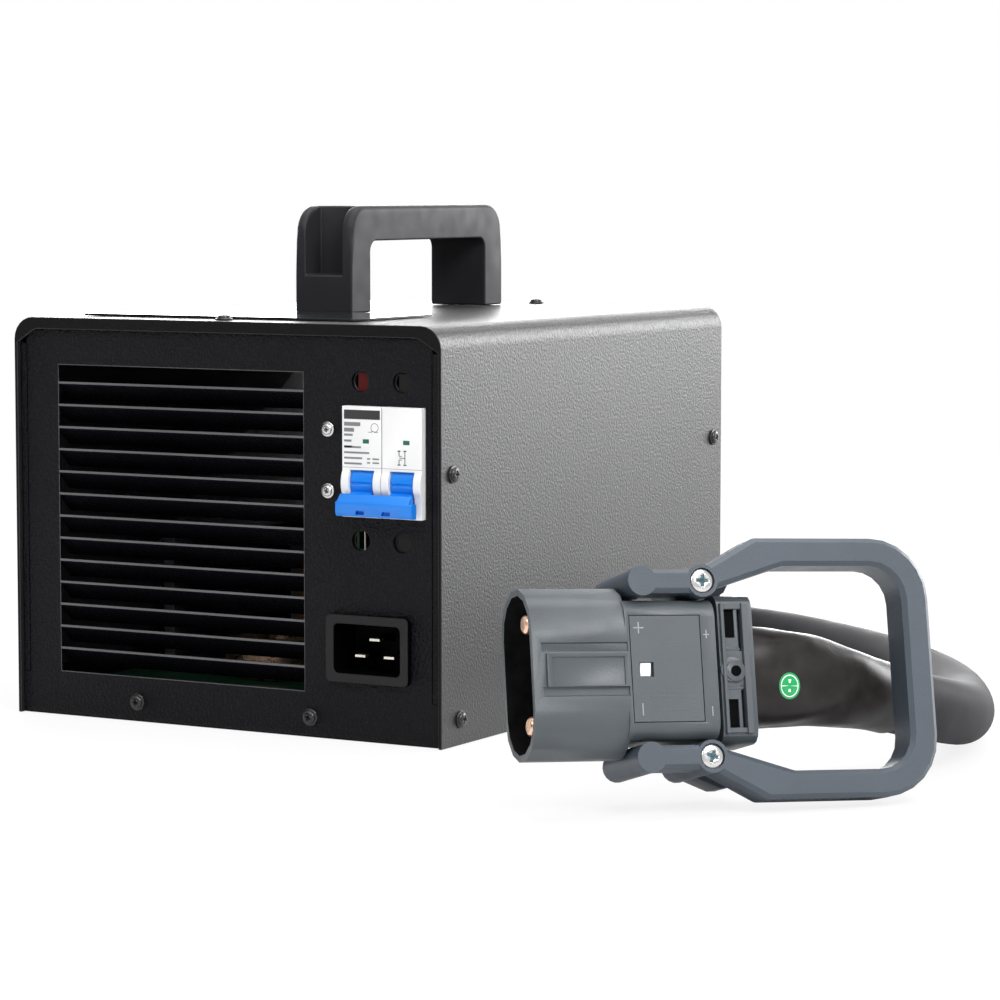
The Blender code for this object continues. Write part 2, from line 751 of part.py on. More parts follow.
def mark_crown_edges(handle, sides, floor, under):
    """Mark the long outer edges over the handle's back for rounding."""
    mesh = handle.data
    weight = mesh.attributes.new("bevel_weight_edge", "FLOAT", "EDGE")
    for edge in mesh.edges:
        ends = [mesh.vertices[k].co for k in edge.vertices]
        along_side = any(all(abs(p.x - side) < GAP for p in ends) for side in sides)
        above = all(p.z > floor for p in ends) and not all(abs(p.z - under) < GAP for p in ends)
        front, rear = HANDLE_FRONT + GAP, HANDLE_FRONT + HANDLE_LENGTH - GAP
        outside = all(p.z > under + GAP or p.y < front or p.y > rear for p in ends)
        if along_side and above and outside:
            weight.data[edge.index].value = 1.0


def pole_outline():
    """Give the side outline of one breaker pole: tall body, nose and the round toggle housing."""
    nose = FRONT_Y - NOSE_PROUD
    shoulder = PANEL_INNER + GAP
    rear = shoulder + BREAKER_DEPTH
    body = BREAKER_HEIGHT / 2
    half = NOSE_HEIGHT / 2
    radius = DRUM_RADIUS + GAP + BULGE_WALL
    reach = HINGE_Y - nose
    rise = sqrt(max(radius * radius - reach * reach, 0.0))
    bulge = []
    top_angle = atan2(rise, -reach)
    for k in range(9):
        angle = top_angle + (2 * pi - 2 * top_angle) * k / 8
        bulge.append((HINGE_Y + radius * cos(angle), HINGE_Z + radius * sin(angle)))
    upper = [(rear, body), (shoulder, body), (shoulder, half), (nose, half)]
    lower = [(nose, -half), (shoulder, -half), (shoulder, -body), (rear, -body)]
    return [(y, BREAKER_Z + z) for y, z in upper] + bulge + [(y, BREAKER_Z + z) for y, z in lower]


def make_breaker():
    """Make the two breaker poles and the toggle that joins them."""
    nose = FRONT_Y - NOSE_PROUD
    for index, name in enumerate(("breaker_pole_left", "breaker_pole_right")):
        left = BREAKER_X + (index - 1) * POLE_WIDTH + (GAP / 2 if index else -GAP / 2)
        pole = place(name, prism(pole_outline(), "X", left, left + POLE_WIDTH), BREAKER_WHITE, smooth=True)
        middle = left + POLE_WIDTH / 2
        half = DRUM_WIDTH / 2 + GAP
        drum = circle((HINGE_Y, HINGE_Z), DRUM_RADIUS + GAP, ROUND_STEPS)
        combine(pole, guide(name + "_pocket", prism(drum, "X", middle - half, middle + half)))
        window = block(
            (middle - half, nose - DRUM_RADIUS, HINGE_Z - WINDOW_DROP - WINDOW_HEIGHT / 2),
            (middle + half, HINGE_Y, HINGE_Z - WINDOW_DROP + WINDOW_HEIGHT / 2),
        )
        combine(pole, guide(name + "_window", window))
        terminals = bmesh.new()
        shoulder = PANEL_INNER + GAP
        for rise in (-1, 1):
            across = BREAKER_X + ACCESS_SHIFT + (index - 0.5) * ACCESS_SPACING
            recess = circle((across, BREAKER_Z + rise * ACCESS_RISE), TERMINAL_RECESS / 2, 16)
            add_prism(terminals, recess, "Y", shoulder - MM, shoulder + TERMINAL_DEPTH)
        combine(pole, guide(name + "_terminals", terminals))
    pivot = bpy.data.objects.new("toggle_axis", None)
    pivot.location = (BREAKER_X, HINGE_Y, HINGE_Z)
    bpy.context.scene.collection.objects.link(pivot)
    half = POLE_WIDTH + GAP / 2 - TIE_BAR_INSET
    bar = rounded(TIE_BAR_THICK, TIE_BAR_HEIGHT, 1 * MM, 2, (-TIE_BAR_REACH, -TIE_BAR_DROP))
    toggle = place("breaker_toggle", prism(bar, "X", -half, half), TOGGLE_BLUE, pivot, smooth=True)
    angle = atan2(-TIE_BAR_DROP, -TIE_BAR_REACH)
    across = Vector((-sin(angle), cos(angle))) * (LEVER_THICK / 2)
    tip = Vector((-TIE_BAR_REACH, -TIE_BAR_DROP)) * 0.97
    levers = bmesh.new()
    drums = bmesh.new()
    for side in (-1, 1):
        middle = side * (POLE_WIDTH + GAP) / 2
        start, end = middle - DRUM_WIDTH / 2, middle + DRUM_WIDTH / 2
        corners = [Vector((0, 0)) + across, tip + across, tip - across, Vector((0, 0)) - across]
        add_prism(levers, [tuple(p) for p in corners], "X", start + GAP, end - GAP)
        add_prism(drums, circle((0, 0), DRUM_RADIUS, ROUND_STEPS), "X", start, end)
    combine(toggle, guide("toggle_levers", levers, pivot), "UNION")
    combine(toggle, guide("toggle_drums", drums, pivot), "UNION")
    slots = bmesh.new()
    for side in (-1, 1):
        middle = side * (POLE_WIDTH + GAP) / 2
        front = -TIE_BAR_REACH - TIE_BAR_THICK / 2
        add_block(
            slots,
            (middle - 2.4 * MM, front - SHEET, -TIE_BAR_DROP - TIE_BAR_HEIGHT * 0.32),
            (middle + 2.4 * MM, front + 1.2 * MM, -TIE_BAR_DROP - TIE_BAR_HEIGHT * 0.16),
        )
    combine(toggle, guide("toggle_slots", slots, pivot))


def make_bracket():
    """Make the folded bracket that holds the breaker behind the panel, and its two screws."""
    side = BREAKER_X - POLE_WIDTH - GAP * 1.5 - SHEET / 2
    rear = PANEL_INNER + 2 * GAP + BREAKER_DEPTH + SHEET / 2
    tab = side - BRACKET_TAB
    far = BREAKER_X + POLE_WIDTH
    front = PANEL_INNER + GAP + SHEET / 2
    path = fillet([(tab, front), (side, front), (side, rear), (far, rear)], [BRACKET_BEND] * 2, 2)
    low = BREAKER_Z - BRACKET_HEIGHT / 2
    shape = prism(strip(path, SHEET), "Z", low, low + BRACKET_HEIGHT)
    place("breaker_bracket", shape, BRIGHT_METAL, smooth=True)
    for index, rise in enumerate((1, -1)):
        centre = (side - BRACKET_TAB * BRACKET_SCREW_PLACE, BREAKER_Z + rise * BRACKET_SCREW_SPACING / 2)
        name = "bracket_screw_%d" % (index + 1)
        screw(name, "Y", centre, PANEL_Y, -1, BRACKET_SCREW_HEAD, ZINC)


def make_inlet():
    """Make the mains inlet: a black housing through the panel and its three blades."""
    face = PANEL_Y - INLET_PROUD
    centre = (INLET_X, INLET_Z)
    frame = rounded(INLET_WIDTH, INLET_HEIGHT, INLET_CORNER, 3, centre)
    housing = place("inlet_housing", prism(frame, "Y", face, PANEL_Y - GAP), BLACK_PLASTIC, smooth=True)
    neck = rounded(INLET_WIDTH - INLET_RIM, INLET_HEIGHT - INLET_RIM, INLET_CORNER, 2, centre)
    back = PANEL_Y + INLET_DEPTH
    combine(housing, guide("inlet_neck", prism(neck, "Y", face + MM, back)), "UNION")
    mouth = rounded(INLET_WIDTH - 2 * INLET_RIM, INLET_HEIGHT - 2 * INLET_RIM, INLET_CORNER, 3, centre)
    combine(housing, guide("inlet_cavity", prism(mouth, "Y", face - MM, face + INLET_CAVITY)))
    seats = bmesh.new()
    places = {
        "inlet_pin_earth": (INLET_X, INLET_Z + PIN_RISE),
        "inlet_pin_line": (INLET_X - PIN_SPACING / 2, INLET_Z - PIN_RISE),
        "inlet_pin_neutral": (INLET_X + PIN_SPACING / 2, INLET_Z - PIN_RISE),
    }
    for name, (x, z) in places.items():
        hole = rectangle(
            x - PIN_BLADE / 2 - GAP, x + PIN_BLADE / 2 + GAP, z - PIN_THICK / 2 - GAP, z + PIN_THICK / 2 + GAP
        )
        add_prism(seats, hole, "Y", face + INLET_CAVITY - MM, back + MM)
        blade = rectangle(x - PIN_BLADE / 2, x + PIN_BLADE / 2, z - PIN_THICK / 2, z + PIN_THICK / 2)
        pin = place(name, prism(blade, "Y", face + PIN_SETBACK, back + 5 * MM), BRIGHT_METAL)
        soften(pin, 0.4 * MM)
    combine(housing, guide("inlet_pin_seats", seats))


def make_board():
    """Make the power board on its four standoffs."""
    low = SHEET + GAP + STANDOFF_HEIGHT + GAP
    half_x, half_y = BOARD_WIDTH / 2, BOARD_LENGTH / 2
    board = block((-half_x, BOARD_Y - half_y, low), (half_x, BOARD_Y + half_y, low + BOARD_THICK))
    place("power_board", board, BOARD_GREEN)
    number = 0
    for side in (-1, 1):
        for end in (-1, 1):
            number += 1
            centre = (side * (half_x - STANDOFF_INSET), BOARD_Y + end * (half_y - STANDOFF_INSET))
            hexagon = circle(centre, STANDOFF_WIDTH / 2, 6)
            shape = prism(hexagon, "Z", SHEET + GAP, SHEET + GAP + STANDOFF_HEIGHT)
            place("board_standoff_%d" % number, shape, BRIGHT_METAL)


def board_top():
    """Give the height at which a component stands on the board."""
    return SHEET + GAP + STANDOFF_HEIGHT + GAP + BOARD_THICK + GAP


def make_heatsinks():
    """Make the two finned heatsinks along the sides of the board."""
    low = board_top()
    for name, side in (("heatsink_left", -1), ("heatsink_right", 1)):
        outer = BOARD_WIDTH / 2 - BOARD_EDGE
        teeth = [(outer, low), (outer, low + HEATSINK_HEIGHT)]
        foot = outer - HEATSINK_BASE
        tip = outer - HEATSINK_DEPTH
        pitch = (HEATSINK_HEIGHT - HEATSINK_FIN) / (HEATSINK_FINS - 1)
        for k in range(HEATSINK_FINS - 1, -1, -1):
            bottom = low + k * pitch
            top = bottom + HEATSINK_FIN
            teeth += [(foot, top), (tip, top), (tip, bottom), (foot, bottom)]
        outline = [(side * x, z) for x, z in teeth[0:2] + teeth[3:-1]]
        start = BOARD_Y - BOARD_LENGTH / 2 + HEATSINK_FRONT_CLEAR
        place(name, prism(outline, "Y", start, start + HEATSINK_LENGTH), ALUMINIUM)


def make_transformer():
    """Make the transformer: a ferrite core with two windows and the winding round its middle limb."""
    low = board_top()
    centre = (BAY_X, BOARD_Y + TRANSFORMER_DEPTH / 2)
    left, right = centre[0] - TRANSFORMER_WIDTH / 2, centre[0] + TRANSFORMER_WIDTH / 2
    start, end = centre[1] - TRANSFORMER_DEPTH / 2, centre[1] + TRANSFORMER_DEPTH / 2
    core = place(
        "transformer_core",
        prism(rectangle(left, right, low, low + TRANSFORMER_HEIGHT), "Y", start, end),
        FERRITE,
    )
    windows = bmesh.new()
    limb = CORE_LIMB / 2
    for side in (-1, 1):
        edges = sorted((centre[0] + side * limb, centre[0] + side * (TRANSFORMER_WIDTH / 2 - limb)))
        window = rectangle(edges[0], edges[1], low + limb, low + TRANSFORMER_HEIGHT - limb)
        add_prism(windows, window, "Y", start - MM, end + MM)
    combine(core, guide("core_windows", windows))
    ring = rounded(
        TRANSFORMER_WIDTH - CORE_LIMB - 2 * GAP,
        TRANSFORMER_DEPTH + 2 * WINDING_OVERHANG,
        WINDING_OVERHANG,
        3,
        centre,
    )
    base, crown = low + limb + GAP, low + TRANSFORMER_HEIGHT - limb - GAP
    winding = place("transformer_winding", prism(ring, "Z", base, crown), WINDING_AMBER, smooth=True)
    hole = rectangle(
        centre[0] - limb - GAP,
        centre[0] + limb + GAP,
        centre[1] - TRANSFORMER_DEPTH / 2 - GAP,
        centre[1] + TRANSFORMER_DEPTH / 2 + GAP,
    )
    combine(winding, guide("winding_bore", prism(hole, "Z", base - MM, crown + MM)))


def make_choke():
    """Make the ring choke that lies on the board."""
    low = board_top()
    centre = (BAY_X, BOARD_Y - BOARD_LENGTH / 2 + CHOKE_FRONT + CHOKE_DIAMETER / 2)
    major = (CHOKE_DIAMETER - CHOKE_THICK) / 2
    minor = CHOKE_THICK / 2
    shape = bmesh.new()
    rings = []
    for k in range(20):
        turn = 2 * pi * k / 20
        ring = []
        for j in range(8):
            angle = 2 * pi * j / 8 + pi / 8
            reach = major + minor * cos(angle)
            height = low + minor * cos(pi / 8) + minor * sin(angle)
            spot = (centre[0] + reach * cos(turn), centre[1] + reach * sin(turn), height)
            ring.append(shape.verts.new(spot))
        rings.append(ring)
    for k in range(20):
        ahead = rings[(k + 1) % 20]
        for j in range(8):
            after = (j + 1) % 8
            shape.faces.new((rings[k][j], ahead[j], ahead[after], rings[k][after]))
    place("output_choke", shape, COPPER, smooth=True)


def make_capacitors():
    """Make the row of storage capacitors."""
    low = board_top()
    radius = CAPACITOR_DIAMETER / 2
    for index in range(3):
        centre = (CAPACITOR_X, BOARD_Y + (index - 0.8) * CAPACITOR_SPACING)
        high = low + CAPACITOR_HEIGHT
        profile = [(radius, low), (radius, high - MM), (radius - MM, high)]
        shape = lathe(profile, 20, "Z", centre)
        place("capacitor_%d" % (index + 1), shape, CAPACITOR_BLUE, smooth=True)


def fan_blade(shape, turn):
    """Add one twisted fan blade to a bmesh, about the fan's axis along Y."""
    inner = FAN_HUB / 2 - 1.2 * MM
    outer = FAN_BORE / 2 - FAN_TIP_GAP
    half_depth = FAN_DEPTH * 0.32
    stations = 3
    rings = []
    for k in range(stations):
        share = k / (stations - 1)
        radius = inner + (outer - inner) * share
        pitch = radians(52 - 18 * share)
        chord = 2 * half_depth / sin(pitch) * (0.86 + 0.1 * share)
        swing = turn + radians(8) * share
        ring = []
        for forward, side in ((-0.5, -1), (0.5, -1), (0.5, 1), (-0.5, 1)):
            around = forward * chord * cos(pitch) - side * 0.7 * MM * sin(pitch)
            depth = forward * chord * sin(pitch) + side * 0.7 * MM * cos(pitch)
            angle = swing + around / radius
            ring.append(shape.verts.new((radius * cos(angle), depth, radius * sin(angle))))
        rings.append(ring)
    for first, second in zip(rings, rings[1:]):
        for k in range(4):
            after = (k + 1) % 4
            shape.faces.new((first[k], second[k], second[after], first[after]))
    shape.faces.new(rings[0])
    shape.faces.new(list(reversed(rings[-1])))


def make_fan():
    """Make the fan: a square frame with a motor boss on four struts, and the rotor in it."""
    rear = REAR_INNER - GAP
    centre = (FAN_X, FAN_Z)
    body = rounded(FAN_SIZE, FAN_SIZE, 5 * MM, 3, centre)
    frame = place("fan_frame", prism(body, "Y", FAN_FRONT, rear), BLACK_PLASTIC, smooth=True)
    bore = circle(centre, FAN_BORE / 2, FINE_STEPS)
    strut = 3.5 * MM
    combine(frame, guide("fan_bore", prism(bore, "Y", FAN_FRONT + strut, rear + MM)))
    quarters = bmesh.new()
    core = FAN_HUB / 2
    for quarter in range(4):
        points = []
        for radius, order in ((core, 1), (FAN_BORE / 2, -1)):
            blocked = 2.2 * MM / radius
            angles = [quarter * pi / 2 + blocked + (pi / 2 - 2 * blocked) * k / 5 for k in range(6)][::order]
            points += [(FAN_X + radius * cos(a), FAN_Z + radius * sin(a)) for a in angles]
        add_prism(quarters, points, "Y", FAN_FRONT - MM, FAN_FRONT + strut + MM)
    combine(frame, guide("fan_quarters", quarters))
    pivot = bpy.data.objects.new("fan_axis", None)
    pivot.location = (FAN_X, FAN_FRONT + strut + GAP + FAN_DEPTH * 0.4, FAN_Z)
    bpy.context.scene.collection.objects.link(pivot)
    hub_half = FAN_DEPTH * 0.4
    profile = [
        (FAN_HUB / 2, -hub_half),
        (FAN_HUB / 2, hub_half - 2 * MM),
        (FAN_HUB / 2 - 2 * MM, hub_half),
        (0, hub_half),
    ]
    hub = lathe(profile, ROUND_STEPS, "Y", (0.0, 0.0))
    rotor = place("fan_rotor", hub, BLACK_PLASTIC, pivot, smooth=True)
    blades = bmesh.new()
    for index in range(FAN_BLADES):
        fan_blade(blades, 2 * pi * index / FAN_BLADES)
    combine(rotor, guide("rotor_blades", blades, pivot), "UNION")
    half = FAN_SCREW_PITCH / 2
    number = 0
    for side in (-1, 1):
        for rise in (-1, 1):
            number += 1
            spot = (FAN_X + side * half, FAN_Z + rise * half)
            screw("fan_screw_%d" % number, "Y", spot, REAR_PANEL_Y, 1, FAN_SCREW_HEAD, BLACK_SCREW)


def make_screws():
    """Make the pan-head screws of the cover and the front panel's foot."""
    high_y = CASE_DEPTH / 2 - SIDE_SCREW_INSET
    low_y = CASE_DEPTH / 2 - SIDE_LOW_INSET
    number = 0
    for side in (-1, 1):
        for end in (-1, 1):
            for y, z in ((high_y, SIDE_SCREW_HIGH), (low_y, SIDE_SCREW_LOW)):
                number += 1
                name = "side_screw_%d" % number
                screw(name, "X", (end * y, z), side * HALF_WIDTH, side, SCREW_HEAD, BLACK_SCREW)
    tops = ((TOP_SCREW_X[0], FRONT_Y + TOP_FRONT_INSET), (TOP_SCREW_X[1], REAR_Y - TOP_REAR_INSET))
    for index, centre in enumerate(tops):
        screw("top_screw_%d" % (index + 1), "Z", centre, CASE_HEIGHT, 1, SCREW_HEAD, BLACK_SCREW)
    for index, x in enumerate(BASE_SCREW_X):
        name = "base_screw_%d" % (index + 1)
        screw(name, "Y", (x, BASE_SCREW_RISE), PANEL_Y, -1, BASE_SCREW_HEAD, BLACK_SCREW)


def make_gland():
    """Make the cable gland in the rear panel and its locknut inside."""
    centre = (GLAND_X, GLAND_Z)
    seat = REAR_PANEL_Y + GAP
    hexagon = circle(centre, GLAND_FLATS / 2 / cos(pi / 6), 6)
    gland = place("cable_gland", prism(hexagon, "Y", seat, seat + GLAND_HEX), BLACK_PLASTIC, smooth=True)
    inside = REAR_INNER - GLAND_INSIDE
    thread = circle(centre, GLAND_THREAD / 2, ROUND_STEPS)
    combine(gland, guide("gland_thread", prism(thread, "Y", inside, seat + MM)), "UNION")
    profile = [
        (GLAND_FLATS / 2 - MM, seat + GLAND_HEX - MM),
        (GLAND_FLATS / 2 - 2 * MM, seat + GLAND_HEX + GLAND_DOME * 0.45),
        (GLAND_FLATS / 2 - 4 * MM, seat + GLAND_HEX + GLAND_DOME * 0.85),
        (CABLE_DIAMETER / 2 + MM, seat + GLAND_HEX + GLAND_DOME),
    ]
    combine(gland, guide("gland_dome", lathe(profile, ROUND_STEPS, "Y", centre)), "UNION")
    nut_face = REAR_INNER - GAP
    nut = place(
        "gland_locknut",
        prism(hexagon, "Y", nut_face - LOCKNUT_THICK, nut_face),
        BLACK_PLASTIC,
    )
    bore = circle(centre, GLAND_THREAD / 2 + GAP, ROUND_STEPS)
    combine(nut, guide("locknut_bore", prism(bore, "Y", nut_face - LOCKNUT_THICK - MM, nut_face + MM)))


def spline(points, steps=12):
    """Read a smooth cubic curve through points; gives places and arc lengths."""
    knots = np.array(points, dtype=float)
    gaps = np.linalg.norm(np.diff(knots, axis=0), axis=1)
    count = len(knots)
    system = np.zeros((count, count))
    right = np.zeros((count, 3))
    system[0, 0] = system[-1, -1] = 1.0
    for k in range(1, count - 1):
        system[k, k - 1] = gaps[k - 1]
        system[k, k] = 2 * (gaps[k - 1] + gaps[k])
        system[k, k + 1] = gaps[k]
        right[k] = 6 * ((knots[k + 1] - knots[k]) / gaps[k] - (knots[k] - knots[k - 1]) / gaps[k - 1])
    curve = np.linalg.solve(system, right)
    places = []
    for k in range(count - 1):
        h = gaps[k]
        for step in range(steps):
            t = h * step / steps
            a = (h - t) / h
            b = t / h
            places.append(
                a * knots[k]
                + b * knots[k + 1]
                + ((a**3 - a) * curve[k] + (b**3 - b) * curve[k + 1]) * h * h / 6
            )
    places.append(knots[-1])
    places = np.array(places)
    lengths = np.concatenate([[0.0], np.cumsum(np.linalg.norm(np.diff(places, axis=0), axis=1))])
    return places, lengths


def plug_matrix():
    """Give the plug's place and turn as it lies on the floor."""
    turn = Euler((PLUG_LEAN, -PLUG_PITCH, PLUG_YAW), "XYZ").to_matrix().to_4x4()
    return Matrix.Translation(PLUG_PLACE) @ turn


def clamp_rear():
    """Give the distance from the plug's mouth to the back of its cable clamp."""
    return SHROUD_LENGTH + BODY_LENGTH + CLAMP_START + CLAMP_LENGTH


def cable_route():
    """Give the cable's whole smooth middle line, from the gland's dome to the plug's clamp."""
    dome = REAR_PANEL_Y + GAP + GLAND_HEX + GLAND_DOME + GAP
    frame = plug_matrix()
    into = [frame @ Vector((-clamp_rear() - GAP - reach, 0, -1.5 * MM)) for reach in (CABLE_STRAIGHT, 0.0)]
    points = [(GLAND_X, dome, GLAND_Z)]
    points += [(GLAND_X, y * MM, z * MM) for y, z in CABLE_DESCENT]
    points += [tuple(value * MM for value in point) for point in CABLE_POINTS]
    points += [tuple(p) for p in into]
    return spline(points)


def make_cable():
    """Make the output cable as a tube, and the shrink sleeve where it enters the plug."""
    places, lengths = cable_route()
    whole = lengths[-1]
    join = whole - SLEEVE_LENGTH
    straight = CABLE_DIAMETER / 2
    count = int(round((join - straight) / (2.2 * CABLE_DIAMETER)))
    last = join - SLEEVE_JOINT
    stops = np.concatenate([[0.0], np.linspace(straight, last - straight / 2, count + 1), [last]])
    data = bpy.data.curves.new("output_cable", "CURVE")
    data.dimensions = "3D"
    data.bevel_depth = CABLE_DIAMETER / 2
    data.bevel_resolution = 3
    data.use_fill_caps = True
    line = data.splines.new("POLY")
    line.points.add(len(stops) - 1)
    for index, stop in enumerate(stops):
        where = [float(np.interp(stop, lengths, places[:, axis])) for axis in range(3)]
        line.points[index].co = (*where, 1.0)
    cable = bpy.data.objects.new("output_cable", data)
    data.materials.append(principled("output_cable", CABLE_GREY))
    bpy.context.scene.collection.objects.link(cable)
    frame = plug_matrix().to_3x3()
    shape = bmesh.new()
    rings = []
    stations = 7
    side_start = frame @ Vector((0, 1, 0))
    for k in range(stations):
        share = k / (stations - 1)
        stop = whole - SLEEVE_LENGTH * share
        where = Vector([float(np.interp(stop, lengths, places[:, axis])) for axis in range(3)])
        back = Vector([float(np.interp(stop - 2 * MM, lengths, places[:, axis])) for axis in range(3)])
        ahead = Vector([float(np.interp(stop + 2 * MM, lengths, places[:, axis])) for axis in range(3)])
        along = (ahead - back).normalized() if k else frame @ Vector((1, 0, 0))
        side = (side_start - along * side_start.dot(along)).normalized()
        rise = along.cross(side).normalized()
        ease = share * share * (3 - 2 * share)
        round_size = CABLE_DIAMETER + 2 * SLEEVE_WALL
        width = SLEEVE_THICK + (round_size - SLEEVE_THICK) * ease
        height = SLEEVE_HEIGHT + (round_size - SLEEVE_HEIGHT) * ease
        corner = min(width, height) / 2 * (0.8 + 0.199 * share)
        ring = [
            shape.verts.new(where + side * a + rise * b) for a, b in rounded(width, height, corner, 4)
        ]
        rings.append(ring)
    for first, second in zip(rings, rings[1:]):
        for k in range(len(first)):
            after = (k + 1) % len(first)
            shape.faces.new((first[k], second[k], second[after], first[after]))
    shape.faces.new(rings[0])
    shape.faces.new(list(reversed(rings[-1])))
    place("cable_sleeve", shape, SLEEVE_BLACK, smooth=True)


def stadium(height, thickness, inset=0.0, steps=7):
    """Give the plug's (Y, Z) outline: a slot shape, flat at the sides and round at the ends."""
    radius = thickness / 2 - inset
    middle = height / 2 - thickness / 2
    points = []
    for sign, start in ((1, 0.0), (-1, pi)):
        for k in range(steps + 1):
            angle = start + pi * k / steps
            points.append((radius * cos(angle), sign * middle + radius * sin(angle)))
    return points


def make_plug_body(frame):
    """Make the plug's housing: the open shroud, the body behind it and the raised field."""
    outline = stadium(SHROUD_HEIGHT, SHROUD_THICK)
    body = place("plug_body", prism(outline, "X", -SHROUD_LENGTH, 0.0), PLUG_GREY, frame, smooth=True)
    half = BOSS_V - SCREW_BOSS_RADIUS - GAP
    rear = -SHROUD_LENGTH - BODY_LENGTH
    block_outline = rounded(SHROUD_THICK, 2 * half, BODY_CORNER, 4)
    combine(body, guide("plug_rear", prism(block_outline, "X", rear, -SHROUD_LENGTH + MM), frame), "UNION")
    near = SHROUD_THICK / 2
    boss = block((-SHROUD_LENGTH + MM / 2, near - MM, BOSS_LOW), (-BOSS_FRONT, near + BOSS_PROUD, BOSS_HIGH))
    combine(body, guide("plug_boss", boss, frame), "UNION")
    cuts = bmesh.new()
    add_prism(cuts, stadium(SHROUD_HEIGHT, SHROUD_THICK, SHROUD_WALL), "X", -SHROUD_DEPTH, MM)
    combine(body, guide("plug_cavity", cuts, frame))
    recesses = bmesh.new()
    add_block(
        recesses,
        (-SHROUD_LENGTH + BOSS_FRAME * 1.6, near + BOSS_PROUD - BOSS_RECESS, BOSS_LOW + BOSS_FRAME * 0.3),
        (-BOSS_FRONT - BOSS_FRAME * 1.2, near + BOSS_PROUD + MM, BOSS_HIGH - BOSS_FRAME),
    )
    start = -SHROUD_LENGTH - LABEL_START
    add_block(
        recesses,
        (start - LABEL_LENGTH - GAP, near - LABEL_THICK - GAP, -LABEL_HEIGHT / 2 - GAP),
        (start + GAP, near + MM, LABEL_HEIGHT / 2 + GAP),
    )
    combine(body, guide("plug_recesses", recesses, frame))
    sockets = bmesh.new()
    for rise in (-1, 1):
        centre = (0.0, rise * MAIN_PIN_SPACING / 2)
        hole = circle(centre, MAIN_PIN / 2 + GAP, 16)
        add_prism(sockets, hole, "X", -SHROUD_DEPTH - 10 * MM, -SHROUD_DEPTH + MM)
    add_block(
        sockets,
        (-SHROUD_DEPTH - 6 * MM, -KEY_SIZE / 2 - GAP, -KEY_SIZE / 2 - GAP),
        (-SHROUD_DEPTH + MM, KEY_SIZE / 2 + GAP, KEY_SIZE / 2 + GAP),
    )
    combine(body, guide("plug_sockets", sockets, frame))


def make_plug_inserts(frame):
    """Make the plug's pins, its coding key and its label plate."""
    for index, rise in enumerate((1, -1)):
        centre = (0.0, rise * MAIN_PIN_SPACING / 2)
        radius = MAIN_PIN / 2
        profile = [
            (0, -MAIN_PIN_SETBACK),
            (radius * 0.75, -MAIN_PIN_SETBACK),
            (radius, -MAIN_PIN_SETBACK - MM),
            (radius, -SHROUD_DEPTH - 10 * MM + GAP),
        ]
        shape = lathe(profile, 16, "X", centre)
        place("main_pin_%d" % (index + 1), shape, COPPER, frame, smooth=True)
    half = KEY_SIZE / 2
    tip = SHROUD_DEPTH * 0.18
    key = block((-SHROUD_DEPTH - 6 * MM + GAP, -half, -half), (-tip, half, half))
    coding = place("coding_key", key, KEY_WHITE, frame)
    soften(coding, 1.5 * MM)
    near = SHROUD_THICK / 2
    start = -SHROUD_LENGTH - LABEL_START
    plate = place(
        "plug_label_plate",
        block(
            (start - LABEL_LENGTH, near - LABEL_THICK, -LABEL_HEIGHT / 2),
            (start, near, LABEL_HEIGHT / 2),
        ),
        PLUG_GREY,
        frame,
    )
    u, v = LABEL_WINDOW_PLACE
    middle = start - u
    window = block(
        (middle - LABEL_WINDOW / 2, near - LABEL_THICK - MM, v - LABEL_WINDOW / 2),
        (middle + LABEL_WINDOW / 2, near + MM, v + LABEL_WINDOW / 2),
    )
    combine(plate, guide("label_window", window, frame))


def make_clamp(frame):
    """Make the cable clamp behind the plug's body, with its slots and screw ring."""
    front = -SHROUD_LENGTH - BODY_LENGTH - CLAMP_START
    rear = front - CLAMP_LENGTH
    outline = rounded(CLAMP_THICK, CLAMP_HEIGHT, CLAMP_CORNER, 3)
    clamp = place("cable_clamp", prism(outline, "X", rear, front), PLUG_GREY, frame, smooth=True)
    neck = rounded(CLAMP_THICK - 6 * MM, CLAMP_HEIGHT - 12 * MM, CLAMP_CORNER, 3)
    tail = -SHROUD_LENGTH - BODY_LENGTH - GAP
    combine(clamp, guide("clamp_neck", prism(neck, "X", front - MM, tail), frame), "UNION")
    near = CLAMP_THICK / 2
    cuts = bmesh.new()
    middle = front - CLAMP_LENGTH * 0.33
    for rise in (-1, 1):
        low = rise * CLAMP_SLOT_RISE - CLAMP_SLOT[1] / 2
        add_block(
            cuts,
            (middle - CLAMP_SLOT[0] / 2, near - 9 * MM, low),
            (middle + CLAMP_SLOT[0] / 2, near + MM, low + CLAMP_SLOT[1]),
        )
        groove = front - CLAMP_LENGTH * 0.62
        edges = sorted((rise * CLAMP_RING * 0.7, rise * (CLAMP_HEIGHT / 2 - CLAMP_CORNER)))
        add_block(
            cuts,
            (groove - 0.8 * MM, near - 3 * MM, edges[0]),
            (groove + 0.8 * MM, near + MM, edges[1]),
        )
    combine(clamp, guide("clamp_cuts", cuts, frame))
    ring = circle((middle, -0.4 * MM), CLAMP_RING / 2, 18)
    combine(clamp, guide("clamp_ring", prism(ring, "Y", near - 2 * MM, near + 0.8 * MM), frame), "UNION")
    hole = circle((middle, -0.4 * MM), CLAMP_RING_HOLE / 2, 14)
    combine(clamp, guide("clamp_ring_hole", prism(hole, "Y", near - 6 * MM, near + 2 * MM), frame))


